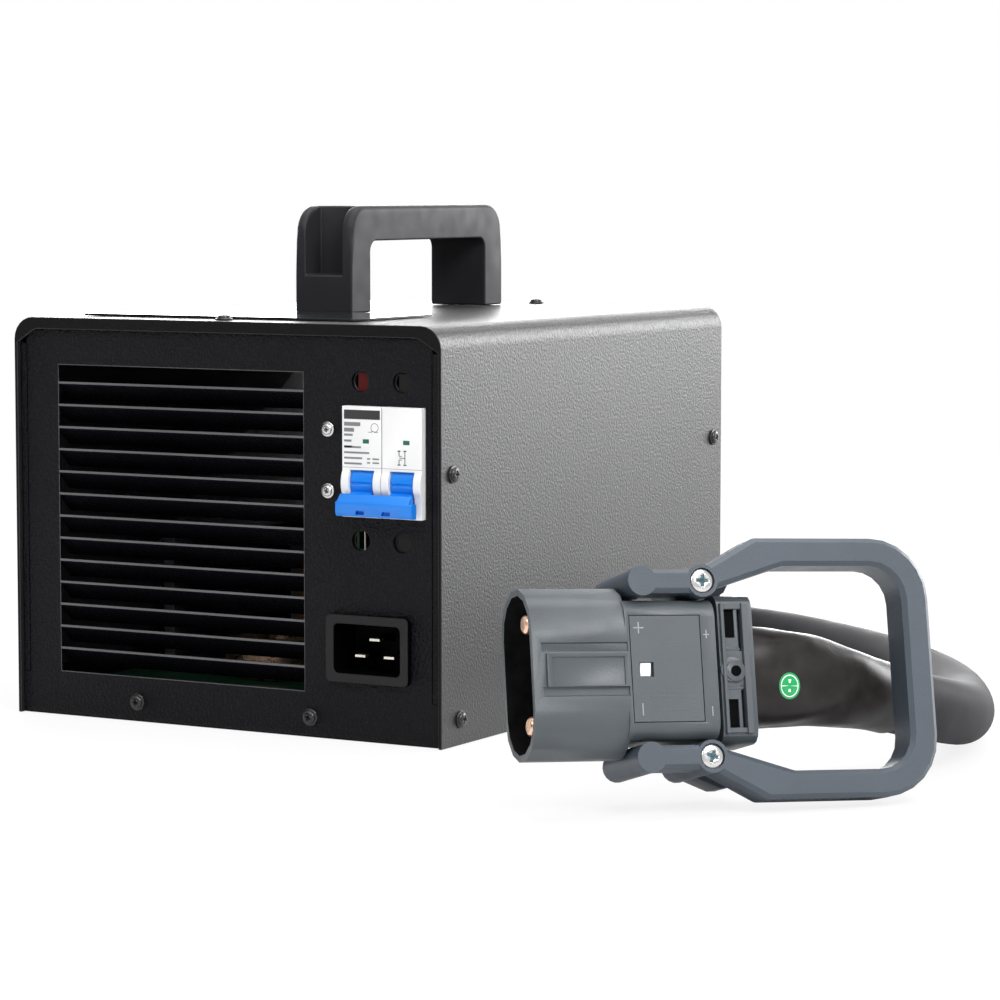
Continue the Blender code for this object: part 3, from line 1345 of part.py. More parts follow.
def loop_outline():
    """Give the (X, Z) outline of the plug's handle: two arms that widen into a closed grip."""
    upper = [
        (BOSS_U, BOSS_V + ARM_HALF),
        (SCREW_U, BOSS_V + ARM_HALF),
        (LOOP_START, LOOP_OUTER),
        (LOOP_REAR, LOOP_OUTER),
        (LOOP_REAR, -LOOP_OUTER),
        (LOOP_START, -LOOP_OUTER),
        (SCREW_U, -BOSS_V - ARM_HALF),
        (BOSS_U, -BOSS_V - ARM_HALF),
    ]
    outer = fillet(upper, [2 * MM, 4 * MM, LOOP_CORNER, LOOP_CORNER, 4 * MM, 2 * MM], 6)
    lower = [
        (BOSS_U, -BOSS_V + ARM_HALF),
        (SCREW_U, -BOSS_V + ARM_HALF),
        (LOOP_INNER_START, -LOOP_INNER),
        (GRIP_INNER, -LOOP_INNER),
        (GRIP_INNER, LOOP_INNER),
        (LOOP_INNER_START, LOOP_INNER),
        (SCREW_U, BOSS_V - ARM_HALF),
        (BOSS_U, BOSS_V - ARM_HALF),
    ]
    inner = fillet(lower, [2 * MM, 4 * MM, LOOP_INNER_CORNER, LOOP_INNER_CORNER, 4 * MM, 2 * MM], 5)
    return [tuple(p) for p in outer] + [tuple(p) for p in inner]


def make_plug_handle(frame):
    """Make the plug's D-handle with its through bosses, and the two screws that hold it."""
    far = GRIP_NEAR - GRIP_THICK
    handle = place("plug_handle", prism(loop_outline(), "Y", far, GRIP_NEAR), HANDLE_GREY, frame, smooth=True)
    soften(handle, LOOP_CHAMFER, 1, 50)
    bosses = bmesh.new()
    deep = GRIP_NEAR - BOSS_LENGTH
    for rise in (-1, 1):
        add_prism(bosses, circle((BOSS_U, rise * BOSS_V), BOSS_RADIUS, 18), "Y", deep, GRIP_NEAR)
    combine(handle, guide("handle_front_bosses", bosses, frame), "UNION")
    seats = bmesh.new()
    for rise in (-1, 1):
        add_prism(seats, circle((SCREW_U, rise * BOSS_V), SCREW_BOSS_RADIUS, 18), "Y", deep, GRIP_NEAR)
    combine(handle, guide("handle_screw_bosses", seats, frame), "UNION")
    lugs = bmesh.new()
    for rise in (-1, 1):
        reach = Vector((FAR_LUG_U - SCREW_U, FAR_LUG_V - BOSS_V))
        points = []
        start = atan2(reach.y, reach.x) + pi / 2
        for centre, radius, first in (
            (Vector((FAR_LUG_U, FAR_LUG_V)), FAR_LUG_RADIUS, start - pi),
            (Vector((SCREW_U, BOSS_V)), ARM_HALF, start),
        ):
            for k in range(7):
                angle = first + pi * k / 6
                points.append((centre.x + radius * cos(angle), rise * (centre.y + radius * sin(angle))))
        add_prism(lugs, points, "Y", deep + MM, deep + MM + FAR_LUG_LENGTH)
    combine(handle, guide("handle_far_lugs", lugs, frame), "UNION")
    bores = bmesh.new()
    for rise in (-1, 1):
        add_prism(
            bores,
            circle((SCREW_U, rise * BOSS_V), SCREW_BORE / 2, 18),
            "Y",
            GRIP_NEAR - SCREW_BORE_DEPTH,
            GRIP_NEAR + MM,
        )
    combine(handle, guide("handle_bores", bores, frame))
    for index, rise in enumerate((1, -1)):
        name = "handle_screw_%d" % (index + 1)
        floor = GRIP_NEAR - SCREW_BORE_DEPTH
        screw(name, "Y", (SCREW_U, rise * BOSS_V), floor, 1, PLUG_SCREW_HEAD, ZINC, frame)


def make_plug():
    """Make the battery plug in its own frame, on the floor in front of the case."""
    frame = bpy.data.objects.new("plug_frame", None)
    frame.matrix_world = plug_matrix()
    bpy.context.scene.collection.objects.link(frame)
    make_plug_body(frame)
    make_plug_inserts(frame)
    make_clamp(frame)
    make_plug_handle(frame)


def main():
    """Build the whole charger."""
    clear_scene()
    make_chassis()
    make_cover()
    make_overlay()
    make_handle()
    make_breaker()
    make_bracket()
    make_inlet()
    make_board()
    make_heatsinks()
    make_transformer()
    make_choke()
    make_capacitors()
    make_fan()
    make_screws()
    make_gland()
    make_cable()
    make_plug()


main()
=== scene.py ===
"""The look of the battery charger: finishes, fine shapes, the lead, the studio and the camera.

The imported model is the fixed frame. Every piece here either gives a node its finish, or stands
for one or more nodes with a smoother and fuller mesh in the same place. All sizes are in metres.
"""
from __future__ import annotations

import json
import logging
from dataclasses import dataclass, field
from enum import Enum
from math import cos, pi, radians, sin
from typing import Iterable, Sequence

import bmesh
import bpy
import numpy as np
from mathutils import Euler, Matrix, Vector, noise


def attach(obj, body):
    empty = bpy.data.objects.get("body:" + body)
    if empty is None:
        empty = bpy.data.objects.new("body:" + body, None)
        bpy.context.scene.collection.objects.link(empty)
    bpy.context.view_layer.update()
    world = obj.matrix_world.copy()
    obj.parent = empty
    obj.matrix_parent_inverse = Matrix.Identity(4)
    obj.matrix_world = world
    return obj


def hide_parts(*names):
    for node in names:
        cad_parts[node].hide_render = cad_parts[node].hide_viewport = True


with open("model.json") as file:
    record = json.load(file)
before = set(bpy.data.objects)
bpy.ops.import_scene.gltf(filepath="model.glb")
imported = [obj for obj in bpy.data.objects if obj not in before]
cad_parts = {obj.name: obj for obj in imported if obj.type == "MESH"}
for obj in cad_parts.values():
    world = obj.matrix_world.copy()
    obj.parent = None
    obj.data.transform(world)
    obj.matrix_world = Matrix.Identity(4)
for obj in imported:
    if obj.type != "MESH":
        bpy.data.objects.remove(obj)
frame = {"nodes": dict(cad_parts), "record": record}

logging.basicConfig(level=logging.INFO, format="%(message)s")
LOG = logging.getLogger("charger")

MM = 0.001
GAP = 0.3 * MM
PANEL_SHEEN = 0.13
Point = tuple[float, float]
Place = tuple[float, float, float]


class Body(Enum):
    """The three bodies that pieces ride on."""

    CHARGER = "charger"
    TOGGLE = "toggle"
    FAN = "fan"


def tint(colour: Sequence[float], share: float, lift: float = 0.0) -> tuple[float, ...]:
    """Give a lighter or darker colour, at most white."""
    return tuple(min(c * share + lift, 1.0) for c in colour)


class Shader:
    """A material's node tree, with short calls to add and join nodes."""

    def __init__(self, name: str) -> None:
        """Make a material whose Principled shader is ready for its inputs."""
        self.material = bpy.data.materials.new(name)
        self.material.use_nodes = True
        self.tree = self.material.node_tree
        self.surface = self.tree.nodes["Principled BSDF"]

    def put(self, socket: str, value: float | tuple[float, ...]) -> None:
        """Set one input of the Principled shader to a constant."""
        self.surface.inputs[socket].default_value = value

    def node(self, kind: str, inputs: dict | None = None, **settings: object) -> bpy.types.Node:
        """Add a node.

        Args:
            kind: the node's type name.
            inputs: socket name or index to a constant or another node's output.
            settings: the node's own properties.

        Returns:
            The new node.
        """
        made = self.tree.nodes.new(kind)
        for key, value in settings.items():
            setattr(made, key, value)
        for key, value in (inputs or {}).items():
            if isinstance(value, bpy.types.NodeSocket):
                self.tree.links.new(value, made.inputs[key])
            else:
                made.inputs[key].default_value = value
        return made

    def place(self) -> bpy.types.NodeSocket:
        """Give the Object coordinates of the piece."""
        return self.node("ShaderNodeTexCoord").outputs["Object"]

    def stretched(self, scale: Place) -> bpy.types.NodeSocket:
        """Give Object coordinates scaled by axis."""
        return self.node("ShaderNodeMapping", {"Vector": self.place(), "Scale": scale}).outputs[0]

    def noise(
        self, scale: float, detail: float = 3.0, rough: float = 0.5, at: object = None
    ) -> bpy.types.NodeSocket:
        """Give a noise value at Object coordinates or at another vector."""
        where = at if at is not None else self.place()
        made = self.node(
            "ShaderNodeTexNoise", {"Vector": where, "Scale": scale, "Detail": detail, "Roughness": rough}
        )
        return made.outputs["Fac"]

    def ramp(
        self, value: bpy.types.NodeSocket, stops: Sequence[tuple[float, tuple[float, ...]]]
    ) -> bpy.types.NodeSocket:
        """Turn a value into a colour through named stops."""
        made = self.node("ShaderNodeValToRGB", {"Fac": value})
        bar = made.color_ramp
        while len(bar.elements) < len(stops):
            bar.elements.new(0.5)
        for element, (where, colour) in zip(bar.elements, stops):
            element.position = where
            element.color = (*colour, 1.0) if len(colour) == 3 else colour
        return made.outputs["Color"]

    def tones(
        self, value: bpy.types.NodeSocket, colour: Sequence[float], *stops: Point
    ) -> bpy.types.NodeSocket:
        """Vary one colour: each stop holds a place on the ramp and a share of the colour."""
        return self.ramp(value, [(where, tint(colour, share)) for where, share in stops])

    def axis(self, name: str, vector: object = None) -> bpy.types.NodeSocket:
        """Give one axis of the Object coordinates, or of another vector."""
        where = vector if vector is not None else self.place()
        return self.node("ShaderNodeSeparateXYZ", {0: where}).outputs[name]

    def spread(
        self, value: bpy.types.NodeSocket, low: float, high: float, start: float = 0.3, end: float = 0.7
    ) -> bpy.types.NodeSocket:
        """Map a value's middle range to low and high."""
        made = self.node(
            "ShaderNodeMapRange",
            {"Value": value, "From Min": start, "From Max": end, "To Min": low, "To Max": high},
        )
        return made.outputs["Result"]

    def blend(self, share: object, first: object, second: object) -> bpy.types.NodeSocket:
        """Mix two colours."""
        made = self.node("ShaderNodeMix", data_type="RGBA")
        for index, value in ((0, share), (6, first), (7, second)):
            if isinstance(value, bpy.types.NodeSocket):
                self.tree.links.new(value, made.inputs[index])
            else:
                made.inputs[index].default_value = value if index == 0 else (*value, 1.0)
        return made.outputs[2]

    def bump(
        self, height: bpy.types.NodeSocket, depth: float, strength: float = 1.0, under: object = None
    ) -> bpy.types.NodeSocket:
        """Turn a height into a normal; depth is in metres."""
        inputs = {"Height": height, "Distance": depth, "Strength": strength}
        if under is not None:
            inputs["Normal"] = under
        return self.node("ShaderNodeBump", inputs).outputs["Normal"]

    def edge(self, radius: float) -> bpy.types.NodeSocket:
        """Give a mask that is high on sharp outer edges, for wear."""
        bevel = self.node("ShaderNodeBevel", {"Radius": radius}, samples=4)
        plain = self.node("ShaderNodeNewGeometry")
        turn = self.node(
            "ShaderNodeVectorMath", {0: bevel.outputs[0], 1: plain.outputs["Normal"]}, operation="DOT_PRODUCT"
        )
        return self.spread(turn.outputs["Value"], 1.0, 0.0, 0.80, 0.98)

    def join(self, socket: str, value: bpy.types.NodeSocket) -> None:
        """Link a node's output to the Principled shader."""
        self.tree.links.new(value, self.surface.inputs[socket])


@dataclass(frozen=True)
class PowderCoat:
    """Black textured powder coat: fine pebbles with a soft sheen.

    Behind inner_from it loses its sheen over inner_fade, and faces that look to the front keep only
    a share of its colour and sheen, as painted shade.
    """

    # Painted shade: this default colour is darker than the cover's copy of the same paint, for the front
    # panel in shade.
    colour: tuple[float, float, float] = (0.003, 0.003, 0.0042)
    pebble: float = 900.0
    depth: float = 0.95 * MM
    gloss: float = 0.34
    specular: float = 0.5
    inner_from: float = 0.0
    inner_fade: float = 1.2 * MM
    wear: float = 2.6
    front_shade_share: float = 1.0

    def material(self, name: str) -> bpy.types.Material:
        """Build the finish."""
        work = Shader(name)
        pebbles = work.noise(self.pebble, 2.0, 0.6)
        tone = work.tones(work.noise(18.0, 3.0), self.colour, (0.3, 0.85), (0.7, 1.25))
        coat = work.blend(work.edge(0.4 * MM), tone, tint(self.colour, self.wear))
        # Painted shade: faces that look to the front are darkened in colour and sheen.
        if self.front_shade_share < 1.0:
            facing = work.axis("Y", work.node("ShaderNodeNewGeometry").outputs["True Normal"])
            front = work.spread(facing, 1.0, 0.0, -0.98, -0.90)
            coat = work.blend(front, coat, tint(self.colour, self.front_shade_share))
            dull = self.specular * self.front_shade_share
            work.join("Specular IOR Level", work.spread(front, self.specular, dull, 0.0, 1.0))
        elif self.inner_from:
            inner_to = self.inner_from + self.inner_fade
            work.join(
                "Specular IOR Level",
                work.spread(work.axis("Y"), self.specular, 0.03, self.inner_from, inner_to),
            )
        else:
            work.put("Specular IOR Level", self.specular)
        work.join("Base Color", coat)
        work.join("Roughness", work.spread(pebbles, self.gloss - 0.05, self.gloss + 0.08))
        work.join("Normal", work.bump(pebbles, self.depth, 0.8))
        return work.material


@dataclass(frozen=True)
class Moulding:
    """Moulded plastic with a fine spark grain and a little mottling."""

    colour: tuple[float, float, float]
    roughness: float = 0.42
    grain: float = 1600.0
    depth: float = 0.03 * MM
    specular: float = 0.5
    wear: float = 1.5

    def material(self, name: str) -> bpy.types.Material:
        """Build the finish."""
        work = Shader(name)
        grain = work.noise(self.grain, 2.0, 0.5)
        broad = work.noise(45.0, 3.0, 0.55)
        tone = work.tones(broad, self.colour, (0.32, 0.93), (0.68, 1.07))
        worn = work.blend(work.edge(0.4 * MM), tone, tint(self.colour, self.wear))
        work.join("Base Color", worn)
        work.join("Roughness", work.spread(work.noise(120.0), self.roughness - 0.04, self.roughness + 0.05))
        work.put("Specular IOR Level", self.specular)
        work.join("Normal", work.bump(grain, self.depth, 0.4))
        return work.material


@dataclass(frozen=True)
class PoleWhite:
    """White moulding with painted shade: its part behind the panel is dark grey."""

    colour: tuple[float, float, float]
    behind: float = -118.5 * MM

    def material(self, name: str) -> bpy.types.Material:
        """Build the finish."""
        work = Shader(name)
        depth = work.axis("Y")
        share = work.spread(depth, 0.0, 1.0, self.behind, self.behind + 0.5 * MM)
        mottle = work.tones(work.noise(40.0), self.colour, (0.3, 0.97), (0.7, 1.0))
        # Painted shade: behind the panel the white falls to dark grey.
        work.join("Base Color", work.blend(share, mottle, (0.012, 0.012, 0.012)))
        work.join("Roughness", work.spread(work.noise(130.0), 0.30, 0.38))
        work.join("Normal", work.bump(work.noise(1800.0, 2.0), 0.01 * MM, 0.3))
        return work.material


@dataclass(frozen=True)
class WellPlastic:
    """Dark grey moulding with painted shade: it falls to black inside the inlet's well."""

    colour: tuple[float, float, float] = (0.010, 0.010, 0.011)
    well_from: float = -122.6 * MM

    def material(self, name: str) -> bpy.types.Material:
        """Build the finish."""
        work = Shader(name)
        depth = work.axis("Y")
        share = work.spread(depth, 0.0, 1.0, self.well_from, self.well_from + 1.0 * MM)
        mottle = work.tones(work.noise(60.0), self.colour, (0.3, 1.0), (0.7, 1.2))
        # Painted shade: colour and sheen fall to black inside the well.
        work.join("Base Color", work.blend(share, mottle, (0.001, 0.001, 0.001)))
        work.join("Specular IOR Level", work.spread(share, 0.45, 0.02, 0.0, 1.0))
        work.join("Roughness", work.spread(work.noise(150.0), 0.36, 0.48))
        work.join("Normal", work.bump(work.noise(1500.0, 2.0), 0.03 * MM, 0.4))
        return work.material


@dataclass(frozen=True)
class RecessPaintedShade:
    """Painted shade at the bottom of a screw's cross: blue-grey when plated, else black."""

    pale: bool

    def material(self, name: str) -> bpy.types.Material:
        """Build the finish."""
        work = Shader(name)
        base = (0.045, 0.085, 0.10) if self.pale else (0.002, 0.002, 0.002)
        work.join("Base Color", work.tones(work.noise(900.0), base, (0.35, 1.0), (0.75, 2.4)))
        work.join("Roughness", work.spread(work.noise(400.0), 0.3, 0.5))
        work.put("Specular IOR Level", 0.25)
        return work.material


@dataclass(frozen=True)
class Void:
    """Painted shade: the black of a deep slot or well, with a trace of dust."""

    colour: tuple[float, float, float] = (0.0012, 0.0012, 0.0013)

    def material(self, name: str) -> bpy.types.Material:
        """Build the finish."""
        work = Shader(name)
        work.join("Base Color", work.tones(work.noise(200.0), self.colour, (0.4, 1.0), (0.8, 2.5)))
        work.join("Roughness", work.spread(work.noise(90.0), 0.6, 0.8))
        work.put("Specular IOR Level", 0.04)
        return work.material


@dataclass(frozen=True)
class BladeTip:
    """Plated blade with painted shade: bright at its front, it falls dark into the well."""

    shade_from: float = -113.5 * MM

    def material(self, name: str) -> bpy.types.Material:
        """Build the finish."""
        work = Shader(name)
        depth = work.axis("Y")
        share = work.spread(depth, 0.0, 1.0, self.shade_from, self.shade_from + 1.0 * MM)
        plate = work.ramp(work.noise(300.0), [(0.3, (0.70, 0.66, 0.60)), (0.7, (0.86, 0.80, 0.72))])
        # Painted shade: the plating blends to near-black deeper in the well.
        work.join("Base Color", work.blend(share, plate, (0.01, 0.01, 0.01)))
        work.put("Metallic", 1.0)
        work.join("Roughness", work.spread(work.noise(200.0), 0.22, 0.32))
        return work.material


@dataclass(frozen=True)
class BareMetal:
    """Plated or drawn metal, with fine draw lines or a mottled plate."""

    colour: tuple[float, float, float]
    roughness: float = 0.28
    lines: Place = (400.0, 400.0, 400.0)
    depth: float = 0.02 * MM

    def material(self, name: str) -> bpy.types.Material:
        """Build the finish."""
        work = Shader(name)
        drawn = work.noise(1.0, 3.0, 0.6, work.stretched(self.lines))
        tone = work.tones(drawn, self.colour, (0.3, 0.82), (0.7, 1.0))
        work.join("Base Color", tone)
        work.put("Metallic", 1.0)
        work.join("Roughness", work.spread(drawn, self.roughness - 0.06, self.roughness + 0.10))
        work.join("Normal", work.bump(drawn, self.depth, 0.3))
        return work.material


@dataclass(frozen=True)
class CableJacket:
    """Dark grey jacket: satin, with a fine grain and dust."""

    colour: tuple[float, float, float] = (0.034, 0.034, 0.036)
    roughness: float = 0.58

    def material(self, name: str) -> bpy.types.Material:
        """Build the finish."""
        work = Shader(name)
        fine = work.noise(900.0, 3.0, 0.6)
        dust = work.noise(60.0, 4.0, 0.6)
        tone = work.tones(dust, self.colour, (0.35, 1.0), (0.75, 1.7))
        work.join("Base Color", tone)
        work.join("Roughness", work.spread(dust, self.roughness - 0.05, self.roughness + 0.1))
        work.put("Specular IOR Level", 0.03)
        work.join("Normal", work.bump(fine, 0.05 * MM, 0.3))
        return work.material


@dataclass(frozen=True)
class ShrinkFilm:
    """Black-brown shrunk film with a semi-gloss skin and small puckers."""

    colour: tuple[float, float, float] = (0.011, 0.009, 0.009)

    def material(self, name: str) -> bpy.types.Material:
        """Build the finish."""
        work = Shader(name)
        pucker = work.noise(110.0, 4.0, 0.55)
        fine = work.noise(700.0, 2.0, 0.5)
        work.join("Base Color", work.tones(pucker, self.colour, (0.3, 1.0), (0.75, 2.0)))
        work.join("Roughness", work.spread(pucker, 0.30, 0.46))
        work.put("Specular IOR Level", 0.2)
        low = work.bump(fine, 0.03 * MM, 0.3)
        work.join("Normal", work.bump(pucker, 0.5 * MM, 0.35, low))
        return work.material


@dataclass(frozen=True)
class Gloss:
    """Smooth glossy face, such as a screen overlay, with faint dust and wipe marks."""

    colour: tuple[float, float, float]
    roughness: float = 0.10
    specular: float = 0.5

    def material(self, name: str) -> bpy.types.Material:
        """Build the finish."""
        work = Shader(name)
        wipe = work.noise(1.0, 3.0, 0.5, work.stretched((30.0, 140.0, 30.0)))
        work.join("Base Color", work.ramp(wipe, [(0.3, self.colour), (0.8, tint(self.colour, 1.15, 0.002))]))
        work.join("Roughness", work.spread(wipe, self.roughness, self.roughness + 0.08))
        work.put("Specular IOR Level", self.specular)
        return work.material


@dataclass(frozen=True)
class Palette:
    """The charger's finishes, by the record's slot."""

    finishes: dict[str, object] = field(
        default_factory=lambda: {
            # Painted shade: the chassis' copy of the black powder coat is darker and duller than the cover's
            # copy of the same paint.
            "powder_coat": PowderCoat(specular=PANEL_SHEEN, inner_from=-119.0 * MM),
            "handle_moulding": Moulding((0.022, 0.022, 0.025), 0.50, depth=0.08 * MM, specular=0.17),
            "plug_moulding": Moulding((0.060, 0.071, 0.080), 0.44, depth=0.16 * MM, specular=0.5),
            "plug_grip": Moulding((0.050, 0.063, 0.080), 0.46, depth=0.20 * MM, specular=0.5),
            "overlay": Gloss((0.012, 0.014, 0.016), 0.05),
            "breaker_white": Moulding((0.80, 0.80, 0.795), 0.32, depth=0.01 * MM, wear=1.1),
            "toggle_blue": Gloss((0.004, 0.190, 0.70), 0.32),
            "black_plastic": Moulding((0.010, 0.010, 0.011), 0.34, depth=0.03 * MM),
            "plated_steel": BareMetal((0.58, 0.575, 0.57), 0.22),
            "black_screw": Moulding((0.012, 0.012, 0.012), 0.25, wear=4.0),
            "contact_copper": BareMetal((0.80, 0.53, 0.38), 0.28),
            # Painted shade: the heatsink, board, winding and capacitor sleeve colours are darkened to a
            # fraction of their own, for the shade inside the case.
            "heatsink_aluminium": BareMetal((0.30, 0.31, 0.32), 0.38, (60.0, 900.0, 900.0)),
            "board": Moulding((0.004, 0.026, 0.013), 0.45, specular=0.2),
            "ferrite": Moulding((0.035, 0.035, 0.04), 0.55),
            "winding": Moulding((0.13, 0.075, 0.02), 0.42, specular=0.25),
            "capacitor_sleeve": Gloss((0.010, 0.015, 0.06), 0.30, 0.25),
            "cable_jacket": CableJacket((0.028, 0.028, 0.030)),
            "shrink_sleeve": ShrinkFilm(),
            "key_white": Moulding((0.80, 0.80, 0.78), 0.40),
        }
    )

    def build(self) -> dict[str, bpy.types.Material]:
        """Build every finish once."""
        return {slot: finish.material("look_" + slot) for slot, finish in self.finishes.items()}


MATERIALS: dict[str, bpy.types.Material] = {}
SLOTS: dict[str, str] = {entry["node"]: entry["material_slot"] for entry in frame["record"]["subparts"]}


def settle(obj: bpy.types.Object) -> bpy.types.Object:
    """Turn an object and its live modifiers into a plain mesh at the origin.

    Args:
        obj: the object as it was made, with any modifiers.

    Returns:
        A new object that holds the evaluated mesh, in place in its vertices.
    """
    bpy.context.view_layer.update()
    graph = bpy.context.evaluated_depsgraph_get()
    mesh = bpy.data.meshes.new_from_object(obj.evaluated_get(graph), depsgraph=graph)
    mesh.transform(obj.matrix_world)
    name = obj.name
    data = obj.data
    bpy.data.objects.remove(obj, do_unlink=True)
    if data is not None and data.users == 0 and isinstance(data, bpy.types.Mesh):
        bpy.data.meshes.remove(data)
    done = bpy.data.objects.new(name, mesh)
    bpy.context.scene.collection.objects.link(done)
    return done


def hand_over(
    obj: bpy.types.Object, slot: str, nodes: Iterable[str] = (), body: Body = Body.CHARGER
) -> bpy.types.Object:
    """Give a finished piece its body, its slot's finish where it has none, and hide the nodes that it stands
    for.

    Args:
        obj: the finished piece, at the origin.
        slot: the record's material slot.
        nodes: the CAD nodes that it replaces.
        body: the body that it rides on.

    Returns:
        The same piece.
    """
    if not obj.data.materials:
        obj.data.materials.append(MATERIALS[slot])
    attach(obj, body.value)
    names = list(nodes)
    if names:
        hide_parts(*names)
    LOG.info("%s: %d faces, slot %s", obj.name, len(obj.data.polygons), slot)
    return obj


def shade(obj: bpy.types.Object, angle: float = 35.0) -> None:
    """Shade a mesh smooth, with edges over an angle left sharp."""
    obj.data.shade_smooth()
    obj.data.set_sharp_from_angle(angle=radians(angle))


def link(name: str, shape: bmesh.types.BMesh, smooth: bool = True) -> bpy.types.Object:
    """Put a bmesh in the scene as a named object."""
    bmesh.ops.recalc_face_normals(shape, faces=shape.faces)
    mesh = bpy.data.meshes.new(name)
    shape.to_mesh(mesh)
    shape.free()
    obj = bpy.data.objects.new(name, mesh)
    bpy.context.scene.collection.objects.link(obj)
    if smooth:
        shade(obj)
    return obj


def bevel(obj: bpy.types.Object, width: float, segments: int = 2, angle: float = 35.0) -> None:
    """Round the sharp edges of an object."""
    step = obj.modifiers.new("edges", "BEVEL")
    step.width = width
    step.segments = segments
    step.limit_method = "ANGLE"
    step.angle_limit = radians(angle)
    step.harden_normals = True


def carve(
    target: bpy.types.Object, tool: bpy.types.Object, operation: str = "DIFFERENCE"
) -> bpy.types.Object:
    """Cut a tool from a target, or join it on, and settle the result."""
    step = target.modifiers.new("form", "BOOLEAN")
    step.operation = operation
    step.solver = "EXACT"
    step.object = tool
    name = target.name
    done = settle(target)
    done.name = name
    bpy.data.objects.remove(tool, do_unlink=True)
    return done


class Skin:
    """A node's own mesh, merged, with its edges rounded and shaded, in place of the node."""

    def __init__(
        self, node: str, width: float = 0.35 * MM, angle: float = 40.0, body: Body = Body.CHARGER
    ) -> None:
        """Copy, clean and round the node's mesh, and hand it over."""
        mesh = frame["nodes"][node].data.copy()
        mesh.materials.clear()
        shape = bmesh.new()
        shape.from_mesh(mesh)
        bmesh.ops.remove_doubles(shape, verts=shape.verts, dist=0.01 * MM)
        bmesh.ops.dissolve_limit(shape, angle_limit=radians(0.5), verts=shape.verts, edges=shape.edges)
        shape.to_mesh(mesh)
        shape.free()
        obj = bpy.data.objects.new("look_" + node, mesh)
        bpy.context.scene.collection.objects.link(obj)
        if width > 0:
            shade(obj, angle)
            bevel(obj, width, 2, angle)
            obj = settle(obj)
        else:
            shade(obj, 32.0)
        self.piece = hand_over(obj, SLOTS[node], [node], body)


def spread(axis: str, first: float, second: float, along: float) -> Vector:
    """Turn an outline's two values and a place along an axis into a point."""
    if axis == "X":
        return Vector((along, first, second))
    if axis == "Y":
        return Vector((first, along, second))
    return Vector((first, second, along))


def add_prism(
    shape: bmesh.types.BMesh, outline: Sequence[Point], axis: str, start: float, end: float
) -> None:
    """Add an outline pushed along an axis to a bmesh."""
    near = [shape.verts.new(spread(axis, a, b, start)) for a, b in outline]
    far = [shape.verts.new(spread(axis, a, b, end)) for a, b in outline]
    shape.faces.new(near)
    shape.faces.new(list(reversed(far)))
    count = len(outline)
    for index in range(count):
        after = (index + 1) % count
        shape.faces.new((near[index], far[index], far[after], near[after]))


def prism(outline: Sequence[Point], axis: str, start: float, end: float) -> bmesh.types.BMesh:
    """Make a bmesh of an outline pushed along an axis."""
    shape = bmesh.new()
    add_prism(shape, outline, axis, start, end)
    return shape


def add_block(shape: bmesh.types.BMesh, low: Place, high: Place) -> None:
    """Add a block between two corners to a bmesh."""
    outline = [(low[0], low[1]), (high[0], low[1]), (high[0], high[1]), (low[0], high[1])]
    add_prism(shape, outline, "Z", low[2], high[2])


def circle(centre: Point, radius: float, steps: int, turn: float = 0.0) -> list[Point]:
    """Give a circle's points."""
    return [
        (
            centre[0] + radius * cos(turn + 2 * pi * k / steps),
            centre[1] + radius * sin(turn + 2 * pi * k / steps),
        )
        for k in range(steps)
    ]


def rounded(
    width: float, height: float, radius: float, steps: int = 6, centre: Point = (0.0, 0.0)
) -> list[Point]:
    """Give a rectangle with round corners."""
    points = []
    corners = ((1, 1, 0.0), (-1, 1, pi / 2), (-1, -1, pi), (1, -1, 3 * pi / 2))
    for side, rise, start in corners:
        middle = (centre[0] + side * (width / 2 - radius), centre[1] + rise * (height / 2 - radius))
        for k in range(steps + 1):
            angle = start + (pi / 2) * k / steps
            points.append((middle[0] + radius * cos(angle), middle[1] + radius * sin(angle)))
    return points


